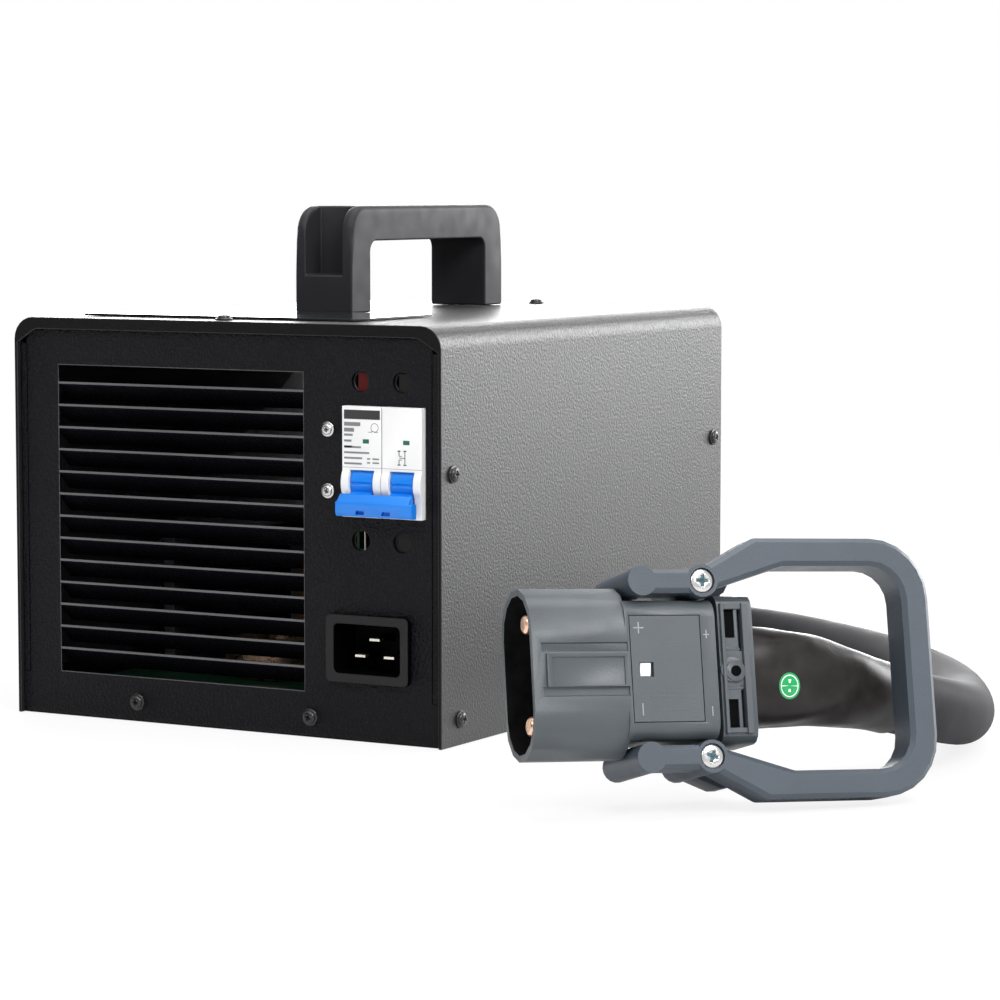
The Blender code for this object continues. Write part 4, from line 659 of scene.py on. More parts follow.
class Tree:
    """A Geometry Nodes tree, with named inputs for its sizes."""

    def __init__(self, name: str) -> None:
        """Start a tree with a geometry input and output."""
        self.group = bpy.data.node_groups.new(name, "GeometryNodeTree")
        self.group.interface.new_socket("Geometry", in_out="INPUT", socket_type="NodeSocketGeometry")
        self.group.interface.new_socket("Geometry", in_out="OUTPUT", socket_type="NodeSocketGeometry")
        self.entry = self.group.nodes.new("NodeGroupInput")
        self.exit = self.group.nodes.new("NodeGroupOutput")

    def size(self, name: str, value: float) -> bpy.types.NodeSocket:
        """Add a named number input and give its socket inside the tree."""
        made = self.group.interface.new_socket(name, in_out="INPUT", socket_type="NodeSocketFloat")
        made.default_value = value
        return self.entry.outputs[name]

    def count(self, name: str, value: int) -> bpy.types.NodeSocket:
        """Add a named whole-number input and give its socket inside the tree."""
        made = self.group.interface.new_socket(name, in_out="INPUT", socket_type="NodeSocketInt")
        made.default_value = value
        return self.entry.outputs[name]

    def node(self, kind: str, inputs: dict | None = None, **settings: object) -> bpy.types.Node:
        """Add a node, with constants or links on its inputs."""
        made = self.group.nodes.new(kind)
        for key, value in settings.items():
            setattr(made, key, value)
        for key, value in (inputs or {}).items():
            if isinstance(value, bpy.types.NodeSocket):
                self.group.links.new(value, made.inputs[key])
            else:
                made.inputs[key].default_value = value
        return made

    def close(self, geometry: bpy.types.NodeSocket, material: bpy.types.Material) -> None:
        """End the tree in Realize Instances and Set Material."""
        real = self.node("GeometryNodeRealizeInstances", {0: geometry})
        dressed = self.node("GeometryNodeSetMaterial", {0: real.outputs[0], "Material": material})
        self.group.links.new(dressed.outputs[0], self.exit.inputs[0])

    def grow(
        self, name: str, seed: bpy.types.Object, sizes: dict[str, float] | None = None
    ) -> bpy.types.Object:
        """Run the tree on an object and turn the result into a plain mesh.

        Args:
            name: the finished piece's name.
            seed: the object that carries the modifier; it is used up.
            sizes: input name to value, where it differs from the default.

        Returns:
            The finished piece.
        """
        step = seed.modifiers.new("form", "NODES")
        step.node_group = self.group
        for item in self.group.interface.items_tree:
            if item.item_type == "SOCKET" and item.in_out == "INPUT" and item.name in (sizes or {}):
                step[item.identifier] = sizes[item.name]
        seed.name = name
        done = settle(seed)
        done.name = name
        return done


def smooth_line(points: Sequence[Place], steps: int = 12) -> tuple[np.ndarray, np.ndarray]:
    """Read a smooth cubic curve through points.

    Args:
        points: places that the line passes through.
        steps: how many places to read for each span.

    Returns:
        The places and their distances along the line.
    """
    knots = np.array(points, dtype=float)
    gaps = np.linalg.norm(np.diff(knots, axis=0), axis=1)
    count = len(knots)
    system = np.zeros((count, count))
    right = np.zeros((count, 3))
    system[0, 0] = system[-1, -1] = 1.0
    for k in range(1, count - 1):
        system[k, k - 1] = gaps[k - 1]
        system[k, k] = 2 * (gaps[k - 1] + gaps[k])
        system[k, k + 1] = gaps[k]
        right[k] = 6 * ((knots[k + 1] - knots[k]) / gaps[k] - (knots[k] - knots[k - 1]) / gaps[k - 1])
    curve = np.linalg.solve(system, right)
    places = []
    for k in range(count - 1):
        h = gaps[k]
        for step in range(steps):
            t = h * step / steps
            a = (h - t) / h
            b = t / h
            bend = ((a**3 - a) * curve[k] + (b**3 - b) * curve[k + 1]) * h * h / 6
            places.append(a * knots[k] + b * knots[k + 1] + bend)
    places.append(knots[-1])
    line = np.array(places)
    lengths = np.concatenate([[0.0], np.cumsum(np.linalg.norm(np.diff(line, axis=0), axis=1))])
    return line, lengths


LAMPS = (
    ("side_box", (0.92, 1.6, 0.60), (0.1, 0.0, 0.08), (1.0, 0.8), 29.0),
    ("rear_box", (-1.5, 2.6, 0.62), (0.0, 0.0, 0.16), (2.6, 1.1), 104.0),
    ("plug_box", (1.5, -0.9, 1.45), (0.2, -0.2, 0.05), (1.0, 1.0), 36.0),
    ("key_box", (-0.2, -1.9, 1.7), (0.0, 0.0, 0.08), (0.9, 0.7), 14.0),
    ("top_box", (0.1, 0.2, 1.8), (0.0, 0.0, 0.1), (1.4, 1.4), 23.0),
)


@dataclass
class Studio:
    """Camera, lamps, floor and world."""

    camera_place: Place = (0.7740, -1.2707, 0.2165)
    camera_yaw: float = 29.426
    camera_pitch: float = 5.171
    lens: float = 127.4
    floor_size: float = 12.0

    def camera(self) -> None:
        """Set the camera that matches the photograph's viewing angle."""
        data = bpy.data.cameras.new("camera")
        data.lens = self.lens
        data.sensor_width = 36.0
        data.clip_start = 0.05
        data.clip_end = 60.0
        eye = bpy.data.objects.new("camera", data)
        eye.location = self.camera_place
        eye.rotation_euler = (radians(90 - self.camera_pitch), 0.0, radians(self.camera_yaw))
        bpy.context.scene.collection.objects.link(eye)
        bpy.context.scene.camera = eye

    def lamp(self, name: str, place: Place, target: Place, size: Point, power: float) -> None:
        """Add one soft rectangular lamp that looks at a target."""
        data = bpy.data.lights.new(name, "AREA")
        data.shape = "RECTANGLE"
        data.size, data.size_y = size
        data.energy = power
        lamp = bpy.data.objects.new(name, data)
        lamp.visible_camera = False
        lamp.location = place
        lamp.rotation_euler = (Vector(target) - Vector(place)).to_track_quat("-Z", "Y").to_euler()
        bpy.context.scene.collection.objects.link(lamp)

    def flag(self, name: str, place: Place, target: Place, size: Point) -> None:
        """Stand a black card that the camera doesn't see and that casts no shadow, to keep the front panel
        dark.
        """
        shape = bmesh.new()
        turn = (Vector(target) - Vector(place)).to_track_quat("-Z", "Y").to_matrix().to_4x4()
        spot = Matrix.Translation(place) @ turn
        corners = [
            shape.verts.new(spot @ Vector((x * size[0] / 2, y * size[1] / 2, 0)))
            for x, y in ((-1, -1), (1, -1), (1, 1), (-1, 1))
        ]
        shape.faces.new(corners)
        card = link(name, shape, smooth=False)
        work = Shader(name)
        work.put("Base Color", (0.001, 0.001, 0.001, 1.0))
        work.put("Roughness", 1.0)
        work.put("Specular IOR Level", 0.0)
        card.data.materials.append(work.material)
        card.visible_camera = False
        card.visible_shadow = False

    def floor(self) -> None:
        """Lay a pale floor that keeps the soft shadow and meets the white background."""
        shape = bmesh.new()
        half = self.floor_size / 2
        corners = [
            shape.verts.new((x * half, y * half, -0.02 * MM)) for x, y in ((-1, -1), (1, -1), (1, 1), (-1, 1))
        ]
        shape.faces.new(corners)
        ground = link("floor", shape, smooth=False)
        work = Shader("floor_paper")
        work.put("Base Color", (0.86, 0.86, 0.86, 1.0))
        work.put("Roughness", 0.9)
        work.put("Specular IOR Level", 0.1)
        glow = work.node("ShaderNodeEmission", {"Color": (1.0, 1.0, 1.0, 1.0), "Strength": 1.0})
        rays = work.node("ShaderNodeLightPath")
        reach = work.node("ShaderNodeVectorMath", {0: work.place()}, operation="LENGTH")
        glowing = work.spread(reach.outputs["Value"], 0.84, 1.0, 0.5, 1.5)
        share = work.node(
            "ShaderNodeMath", {0: rays.outputs["Is Camera Ray"], 1: glowing}, operation="MULTIPLY"
        )
        mixed = work.node(
            "ShaderNodeMixShader", {0: share.outputs[0], 1: work.surface.outputs[0], 2: glow.outputs[0]}
        )
        work.tree.links.new(mixed.outputs[0], work.tree.nodes["Material Output"].inputs["Surface"])
        ground.data.materials.append(work.material)

    def world(self) -> None:
        """Set a white background for what the camera and reflections see, and a plainer fill."""
        sky = bpy.data.worlds.new("studio")
        sky.use_nodes = True
        tree = sky.node_tree
        fill = tree.nodes["Background"]
        fill.inputs["Color"].default_value = (1.0, 1.0, 1.0, 1.0)
        fill.inputs["Strength"].default_value = 0.28
        white = tree.nodes.new("ShaderNodeBackground")
        white.inputs["Color"].default_value = (1.0, 1.0, 1.0, 1.0)
        white.inputs["Strength"].default_value = 1.0
        rays = tree.nodes.new("ShaderNodeLightPath")
        seen = tree.nodes.new("ShaderNodeMath")
        seen.operation = "ADD"
        seen.use_clamp = True
        tree.links.new(rays.outputs["Is Camera Ray"], seen.inputs[0])
        tree.links.new(rays.outputs["Is Glossy Ray"], seen.inputs[1])
        through = tree.nodes.new("ShaderNodeMath")
        through.operation = "ADD"
        through.use_clamp = True
        tree.links.new(seen.outputs[0], through.inputs[0])
        tree.links.new(rays.outputs["Is Transmission Ray"], through.inputs[1])
        mixed = tree.nodes.new("ShaderNodeMixShader")
        tree.links.new(through.outputs[0], mixed.inputs[0])
        tree.links.new(fill.outputs[0], mixed.inputs[1])
        tree.links.new(white.outputs[0], mixed.inputs[2])
        tree.links.new(mixed.outputs[0], tree.nodes["World Output"].inputs["Surface"])
        bpy.context.scene.world = sky

    def build(self) -> None:
        """Set up the whole studio."""
        bpy.context.scene.view_settings.view_transform = "Standard"
        self.camera()
        self.floor()
        self.world()
        for lamp in LAMPS:
            self.lamp(*lamp)
        self.flag("dark_card", (-1.5, -2.1, 0.45), (0.0, -0.1, 0.08), (2.4, 1.6))


ROUTE = (
    (-12.0, 162.0, 58.0), (-12.0, 172.0, 58.0), (-12.0, 189.0, 56.7), (-12.0, 206.0, 53.0),
    (-12.0, 222.0, 47.6), (-12.0, 238.0, 41.0), (-12.0, 256.0, 33.0), (-15.6, 285.0, 22.6),
    (-26.0, 312.3, 15.6), (-42.8, 336.3, 12.8), (-72.0, 359.9, 12.3), (-111.2, 374.2, 12.3),
    (-152.8, 374.2, 12.3), (-192.0, 359.9, 12.3), (-223.9, 333.1, 12.3), (-244.8, 297.0, 12.3),
    (-252.0, 256.0, 12.3), (-244.8, 215.0, 12.3), (-223.9, 178.9, 12.3), (-192.0, 152.1, 12.3),
    (-152.8, 137.8, 12.3), (-132.0, 136.3, 12.3), (-90.0, 138.0, 12.3), (-45.0, 146.0, 12.3),
    (0.0, 158.0, 12.3), (42.0, 168.0, 12.3), (82.0, 169.0, 12.3), (122.0, 152.5, 12.3),
    (160.0, 126.5, 12.3), (192.0, 100.0, 12.3), (221.0, 69.0, 12.3), (246.0, 34.0, 12.3),
    (264.8, -4.0, 13.0), (277.4, -42.0, 17.5), (281.2, -76.0, 24.0), (276.6, -104.0, 30.6),
)


@dataclass
class PlugPlace:
    """Where the plug lies, and the turn of its own frame: X to the mouth, Y to the label side."""

    origin: Place = (191.5 * MM, -225.3 * MM, 48.0 * MM)
    yaw: float = -132.2
    pitch: float = 2.0
    lean: float = 15.0

    def matrix(self) -> Matrix:
        """Give the plug's frame in the row frame."""
        turn = Euler((radians(self.lean), -radians(self.pitch), radians(self.yaw)), "XYZ")
        return Matrix.Translation(self.origin) @ turn.to_matrix().to_4x4()


def corner_box(node: str) -> tuple[Vector, Vector]:
    """Give the low and high corners of a node's own mesh."""
    places = [v.co for v in frame["nodes"][node].data.vertices]
    low = Vector(min(p[k] for p in places) for k in range(3))
    high = Vector(max(p[k] for p in places) for k in range(3))
    return low, high


def lathe(shape: bmesh.types.BMesh, profile: Sequence[Point], steps: int, height: float = 0.0) -> None:
    """Turn a profile of (radius, rise) around Z, closing it where the radius is zero."""
    rings = []
    for radius, rise in profile:
        if radius <= 0:
            rings.append([shape.verts.new((0, 0, rise + height))])
            continue
        rings.append([shape.verts.new((x, y, rise + height)) for x, y in circle((0, 0), radius, steps)])
    for first, second in zip(rings, rings[1:]):
        for k in range(steps):
            after = (k + 1) % steps
            if len(first) == 1:
                shape.faces.new((first[0], second[k], second[after]))
            elif len(second) == 1:
                shape.faces.new((first[k], first[after], second[0]))
            else:
                shape.faces.new((first[k], first[after], second[after], second[k]))


@dataclass(frozen=True)
class PanHead:
    """A pan head with a washer face and a cross recess, looking up Z from its seat."""

    radius: float
    height: float = 2.0 * MM
    washer: float = 0.0
    recess: float = 0.62

    def mesh(self, name: str) -> bpy.types.Object:
        """Build the head as an object at the origin."""
        shape = bmesh.new()
        r, h = self.radius, self.height
        profile = [(0.0, -0.2 * MM)]
        if self.washer > 0:
            lip = 0.55 * MM
            profile += [
                (self.washer, -0.2 * MM),
                (self.washer, lip - 0.15 * MM),
                (self.washer - 0.15 * MM, lip),
                (r, lip),
            ]
        else:
            profile += [(r, -0.2 * MM)]
        profile += [(r, h * 0.45), (r * 0.95, h * 0.68), (r * 0.80, h * 0.88), (r * 0.55, h * 0.97), (0.0, h)]
        lathe(shape, profile, 40)
        head = link(name, shape)
        reach, half, deep = r * self.recess, r * 0.15, h * 0.25
        for axis in ("X", "Y"):
            outline = [(-reach, h * 1.2), (reach, h * 1.2), (reach * 0.55, deep), (-reach * 0.55, deep)]
            head = carve(head, link(name + "_cross", prism(outline, axis, -half, half), False))
        bowl = bmesh.new()
        lathe(bowl, [(0.0, h * 1.25), (r * 0.33, h * 1.25), (r * 0.20, deep * 0.9), (0.0, deep * 0.6)], 16)
        head = carve(head, link(name + "_bowl", bowl, False))
        bevel(head, 0.07 * MM, 2, 30.0)
        head = settle(head)
        shade(head, 40.0)
        return head

    def shade_inlay(self, name: str) -> bpy.types.Object:
        """Build a dark piece of painted shade at the floor of the cross recess, as an object at the origin.
        """
        r, h = self.radius, self.height
        shape = bmesh.new()
        reach, half = r * self.recess * 0.96, r * 0.145
        for axis in ("X", "Y"):
            corners = [
                (-reach * 0.9, h * 0.72),
                (-reach * 0.5, h * 0.35),
                (reach * 0.5, h * 0.35),
                (reach * 0.9, h * 0.72),
            ]
            add_prism(shape, corners, axis, -half, half)
        return link(name, shape, False)


class ScrewSet:
    """Screws of one kind and direction, set on their nodes' places by a Geometry Nodes tree."""

    def __init__(
        self, name: str, nodes: Sequence[str], slot: str, head: PanHead, axis: Vector, seats: Sequence[Vector]
    ) -> None:
        """Place the heads, each with its own turn of the cross.

        Args:
            name: the finished piece's name.
            nodes: the CAD screws that it stands for.
            slot: the record's material slot.
            head: the head's sizes.
            axis: the way that the heads look.
            seats: the middle of each head's seat.
        """
        self.axis = axis
        self.seats = seats
        self.piece = self.scatter(name, head.mesh(name + "_head"), MATERIALS[slot])
        hand_over(self.piece, slot, nodes)
        # Painted shade: a dark piece sits in each cross recess.
        floor = RecessPaintedShade(pale=slot == "plated_steel").material(name + "_recess_look")
        self.recess = self.scatter(name + "_recess", head.shade_inlay(name + "_inlay"), floor)
        hand_over(self.recess, slot)

    def scatter(self, name: str, piece: bpy.types.Object, material: bpy.types.Material) -> bpy.types.Object:
        """Set one mesh on every seat, turned about its own axis by a fixed random angle."""
        mesh = bpy.data.meshes.new(name)
        mesh.from_pydata([tuple(p) for p in self.seats], [], [])
        seed = bpy.data.objects.new(name, mesh)
        bpy.context.scene.collection.objects.link(seed)
        tree = Tree(name + "_tree")
        spin = tree.size("Spin", 2 * pi)
        lean = self.axis.to_track_quat("Z", "Y").to_euler()
        info = tree.node("GeometryNodeObjectInfo", {"Object": piece})
        turn = tree.node("FunctionNodeRandomValue", {"Max": spin, "Seed": 7}, data_type="FLOAT")
        about = tree.node("ShaderNodeCombineXYZ", {"Z": turn.outputs[1]})
        spun = tree.node("FunctionNodeEulerToRotation", {0: about.outputs[0]})
        placed = tree.node(
            "GeometryNodeInstanceOnPoints",
            {
                "Points": tree.entry.outputs["Geometry"],
                "Instance": info.outputs["Geometry"],
                "Rotation": tuple(lean),
            },
        )
        turned = tree.node("GeometryNodeRotateInstances", {0: placed.outputs[0], "Rotation": spun.outputs[0]})
        tree.close(turned.outputs[0], material)
        done = tree.grow(name, seed, {"Spin": 2 * pi})
        bpy.data.objects.remove(piece, do_unlink=True)
        return done


@dataclass
class Fixings:
    """All screws of the case, the fan and the breaker."""

    case_head: PanHead = PanHead(2.75 * MM, 1.9 * MM, 3.4 * MM)
    bracket_head: PanHead = PanHead(2.15 * MM, 1.5 * MM, 2.9 * MM)
    fan_head: PanHead = PanHead(3.0 * MM, 1.9 * MM)

    def seat(self, node: str, axis: Vector) -> Vector:
        """Give the seat of a node's head: its box's middle, at the side away from the head's top."""
        low, high = corner_box(node)
        middle = (low + high) / 2
        reach = abs((high - low).dot(axis)) / 2
        return middle - axis * reach

    def build(self) -> None:
        """Build every set."""
        for side, name in ((-1, "left"), (1, "right")):
            axis = Vector((side, 0, 0))
            nodes = [f"side_screw_{k}" for k in range(1, 9)]
            nodes = [n for n in nodes if corner_box(n)[0].x * side > 0]
            ScrewSet(
                f"{name}_screws",
                nodes,
                "black_screw",
                self.case_head,
                axis,
                [self.seat(n, axis) for n in nodes],
            )
        for name, count, axis, head, slot in (
            ("top_screw", 2, Vector((0, 0, 1)), self.case_head, "black_screw"),
            ("base_screw", 2, Vector((0, -1, 0)), self.case_head, "black_screw"),
            ("fan_screw", 4, Vector((0, 1, 0)), self.fan_head, "black_screw"),
            ("bracket_screw", 2, Vector((0, -1, 0)), self.bracket_head, "plated_steel"),
        ):
            nodes = [f"{name}_{k + 1}" for k in range(count)]
            ScrewSet(name + "s", nodes, slot, head, axis, [self.seat(n, axis) for n in nodes])


@dataclass
class Breaker:
    """The two-pole breaker: the print on its face, its windows, and the blue toggle."""

    middle: float = 74.1 * MM
    face: float = -121.7 * MM
    hinge: Point = (-113.3 * MM, 100.7 * MM)
    drum: float = 8.4 * MM
    drum_width: float = 10.4 * MM
    drum_spacing: float = 17.9 * MM
    bar_half: float = 16.9 * MM
    dark: tuple[float, float, float] = (0.028, 0.027, 0.028)

    def print_block(
        self,
        name: str,
        places: Sequence[tuple[float, float, float, float]],
        finish: object,
        lift: float = 0.06 * MM,
    ) -> None:
        """Lay plain print on the face, each field as (x low, x high, z low, z high) in mm."""
        shape = bmesh.new()
        for left, right, low, high in places:
            add_block(
                shape, (left * MM, self.face - lift, low * MM), (right * MM, self.face + 0.05 * MM, high * MM)
            )
        piece = link(name, shape, False)
        piece.data.materials.append(finish.material("look_" + name))
        hand_over(piece, "breaker_white")

    def poles(self) -> None:
        """Give the poles a white face, with painted shade in dark grey on what lies behind the panel."""
        finish = PoleWhite((0.82, 0.82, 0.82))
        material = finish.material("look_pole")
        for node in ("breaker_pole_left", "breaker_pole_right"):
            piece = Skin(node, 0.25 * MM, 40.0).piece
            piece.data.materials.clear()
            piece.data.materials.append(material)
        ink = Moulding(self.dark, 0.4, depth=0.005 * MM)
        self.print_block("breaker_band", [(57.3, 73.4, 125.35, 128.9)], ink)
        lines = []
        for row, (start, end) in enumerate(
            ((57.3, 64.6), (57.3, 61.8), (57.3, 61.2), (57.3, 60.6), (57.3, 60.9))
        ):
            high = 124.2 - row * 2.25
            lines.append((start, end, high - (1.5 if row < 2 else 0.85), high))
        for row, end in enumerate((64.9, 68.6, 65.4, 65.2)):
            high = 115.0 - row * 2.1
            lines.append((57.3, end, high - 0.75, high))
        lines += [
            (67.6, 69.0, 110.0, 110.6),
            (70.0, 73.0, 110.0, 110.6),
            (67.6, 69.0, 108.5, 109.1),
            (70.0, 73.0, 108.5, 109.1),
        ]
        lines += [(68.2, 69.9, 120.4, 120.65), (70.8, 72.5, 120.4, 120.65)]
        lines += [(69.5, 70.6, 120.75, 121.0)]
        self.print_block("breaker_lines", lines, Moulding((0.20, 0.20, 0.20), 0.4, depth=0.005 * MM))
        marks = [
            (81.2, 82.5, 113.6, 114.0),
            (83.8, 85.1, 113.6, 114.0),
            (81.2, 82.5, 108.3, 108.7),
            (83.8, 85.1, 108.3, 108.7),
        ]
        marks += [
            (81.7, 82.0, 111.9, 113.6),
            (84.3, 84.6, 108.7, 113.6),
            (81.7, 82.0, 108.7, 110.4),
            (82.0, 84.3, 111.0, 111.25),
        ]
        marks += [(82.0, 83.1, 111.7, 111.95), (82.0, 83.1, 110.3, 110.55)]
        self.print_block("breaker_symbol", marks, ink)
        ring = bmesh.new()
        outer, inner = circle(
            (71.0 * MM, 122.3 * MM), 1.75 * MM, 28
        ), circle((71.0 * MM, 122.3 * MM), 1.5 * MM, 28)
        self.ring(ring, outer, inner)
        piece = link("breaker_ring", ring, False)
        piece.data.materials.append(Moulding((0.20, 0.20, 0.20), 0.4).material("look_breaker_ring"))
        hand_over(piece, "breaker_white")
        self.print_block(
            "breaker_windows",
            [(65.7, 68.45, 116.15, 117.8), (83.65, 86.5, 116.2, 117.85)],
            Gloss((0.01, 0.12, 0.075), 0.2),
            0.03 * MM,
        )
        seams = [(56.3, 91.9, 106.75, 106.95), (74.02, 74.22, 87.9, 130.1)]
        self.print_block("breaker_seams", seams, Moulding((0.30, 0.30, 0.30), 0.5), 0.02 * MM)

    def ring(self, shape: bmesh.types.BMesh, outer: Sequence[Point], inner: Sequence[Point]) -> None:
        """Add a flat printed ring to a bmesh."""
        faces = [
            [shape.verts.new((x, y, z)) for x, z in line]
            for line in (outer, inner) for y in (self.face - 0.06 * MM, self.face)
        ]
        near_out, far_out, near_in, far_in = faces[0], faces[1], faces[2], faces[3]
        count = len(outer)
        for k in range(count):
            after = (k + 1) % count
            shape.faces.new((near_out[k], near_out[after], near_in[after], near_in[k]))
            shape.faces.new((near_out[k], far_out[k], far_out[after], near_out[after]))
            shape.faces.new((near_in[k], near_in[after], far_in[after], far_in[k]))
            shape.faces.new((far_out[k], far_in[k], far_in[after], far_out[after]))

    def toggle(self) -> None:
        """Build the two drums, their levers and the tie bar in one moulding."""
        y, z = self.hinge
        shape = bmesh.new()
        for side in (-1, 1):
            middle = self.middle + side * self.drum_spacing / 2
            outline = []
            for k in range(72):
                angle = 2 * pi * k / 72
                dent = 0.55 * MM if abs(angle - pi) < 0.05 else 0.0
                outline.append((y + (self.drum - dent) * cos(angle), z + (self.drum - dent) * sin(angle)))
            add_prism(
                shape,
                outline,
                "X",
                middle - self.drum_width / 2 + GAP / 2,
                middle + self.drum_width / 2 - GAP / 2,
            )
        toggle = link("look_toggle", shape)
        levers = bmesh.new()
        for side in (-1, 1):
            middle = self.middle + side * self.drum_spacing / 2
            blade = [(0.0, 1.3), (-7.0, -3.0), (-11.6, -4.4), (-11.6, -8.0), (-7.0, -6.2), (0.0, -1.7)]
            outline = [(y + a * MM, z + b * MM) for a, b in blade]
            add_prism(
                levers, outline, "X", middle - self.drum_width / 2 + GAP, middle + self.drum_width / 2 - GAP
            )
        toggle = carve(toggle, link("toggle_levers", levers, False), "UNION")
        bar = bmesh.new()
        upper = [(-10.9, -3.8), (-12.1, -3.8), (-14.6, -6.4), (-14.9, -7.0), (-10.9, -7.0)]
        lower = [
            (-10.9, -6.6),
            (-14.75, -6.6),
            (-15.0, -7.0),
            (-15.0, -11.0),
            (-14.3, -12.2),
            (-11.6, -12.4),
            (-10.9, -12.0),
        ]
        left = self.middle - self.bar_half
        add_prism(
            bar,
            [(y + a * MM, z + b * MM) for a, b in upper],
            "X",
            left + 0.5 * MM,
            self.middle + self.bar_half - 1.5 * MM,
        )
        tie = link("toggle_bar", bar, False)
        low = bmesh.new()
        add_prism(low, [(y + a * MM, z + b * MM) for a, b in lower], "X", left, self.middle + self.bar_half)
        tie = carve(tie, link("toggle_bar_low", low, False), "UNION")
        bevel(tie, 0.5 * MM, 3, 30.0)
        tie = settle(tie)
        toggle = carve(toggle, tie, "UNION")
        slots = bmesh.new()
        for start in (65.9, 77.5):
            corners = [(start, 89.35), (start + 4.1, 89.35), (start + 4.1, 90.85), (start + 0.7, 90.85)]
            outline = [(a * MM, b * MM) for a, b in corners]
            add_prism(slots, outline, "Y", y - 15.6 * MM, y - 13.2 * MM)
        toggle = carve(toggle, link("toggle_slots", slots, False))
        toggle.name = "look_toggle"
        bevel(toggle, 0.12 * MM, 2, 40.0)
        toggle = settle(toggle)
        shade(toggle, 32.0)
        hand_over(toggle, "toggle_blue", ["breaker_toggle"], Body.TOGGLE)

    def terminals(self) -> None:
        """Put plain terminals behind the four access holes, as they show in the photograph."""
        back, face = -117.6 * MM, -118.0 * MM
        # Painted shade: the fields are wire and screw colours darkened nearly to black; the thin bright strip
        # is a painted highlight on a metal edge.
        fields = (
            ("terminal_red", [(61.6, 65.9, 135.8, 143.0)], (0.060, 0.002, 0.002)),
            (
                "terminal_grey",
                [(65.9, 69.0, 135.8, 143.0), (79.8, 87.0, 135.8, 143.0), (78.8, 86.0, 74.8, 82.0)],
                (0.006, 0.0055, 0.005),
            ),
            ("terminal_green", [(60.7, 61.7, 74.8, 82.0)], (0.003, 0.018, 0.008)),
            ("terminal_bright", [(64.0, 64.4, 74.8, 82.0)], (0.36, 0.34, 0.30)),
        )
        for name, places, colour in fields:
            shape = bmesh.new()
            for left, right, low, high in places:
                add_block(shape, (left * MM, face, low * MM), (right * MM, back, high * MM))
            piece = link(name, shape, False)
            piece.data.materials.append(Moulding(colour, 0.5, specular=0.2).material("look_" + name))
            hand_over(piece, "black_plastic")

    def build(self) -> None:
        """Build the breaker."""
        self.poles()
        self.toggle()
        self.terminals()


class PlugPiece:
    """A mesh that is drawn in the plug's own frame (mm) and set in place in its vertices."""

    def __init__(self, name: str, slot: str) -> None:
        """Start a piece."""
        self.name = name
        self.slot = slot
        self.shape = bmesh.new()

    def bar(self, low: Place, high: Place, lean: float = 0.0) -> None:
        """Add a block in the plug's frame; lean tapers its far side."""
        add_prism(
            self.shape,
            [
                (low[0] * MM, low[2] * MM),
                (high[0] * MM, low[2] * MM),
                (high[0] * MM + lean * MM, high[2] * MM),
                (low[0] * MM + lean * MM, high[2] * MM),
            ],
            "Y",
            low[1] * MM,
            high[1] * MM,
        )

    def disc(self, centre: Point, radius: float, low: float, high: float, steps: int = 36) -> None:
        """Add a disc that looks to the label side."""
        middle = (centre[0] * MM, centre[1] * MM)
        add_prism(self.shape, circle(middle, radius * MM, steps), "Y", low * MM, high * MM)

    def done(self, smooth: bool = True, round_by: float = 0.0) -> bpy.types.Object:
        """Place the piece, with its edges rounded if asked."""
        self.shape.transform(PlugPlace().matrix())
        piece = link(self.name, self.shape, smooth)
        if round_by > 0:
            bevel(piece, round_by * MM, 2, 35.0)
            piece = settle(piece)
            shade(piece, 32.0)
        return piece


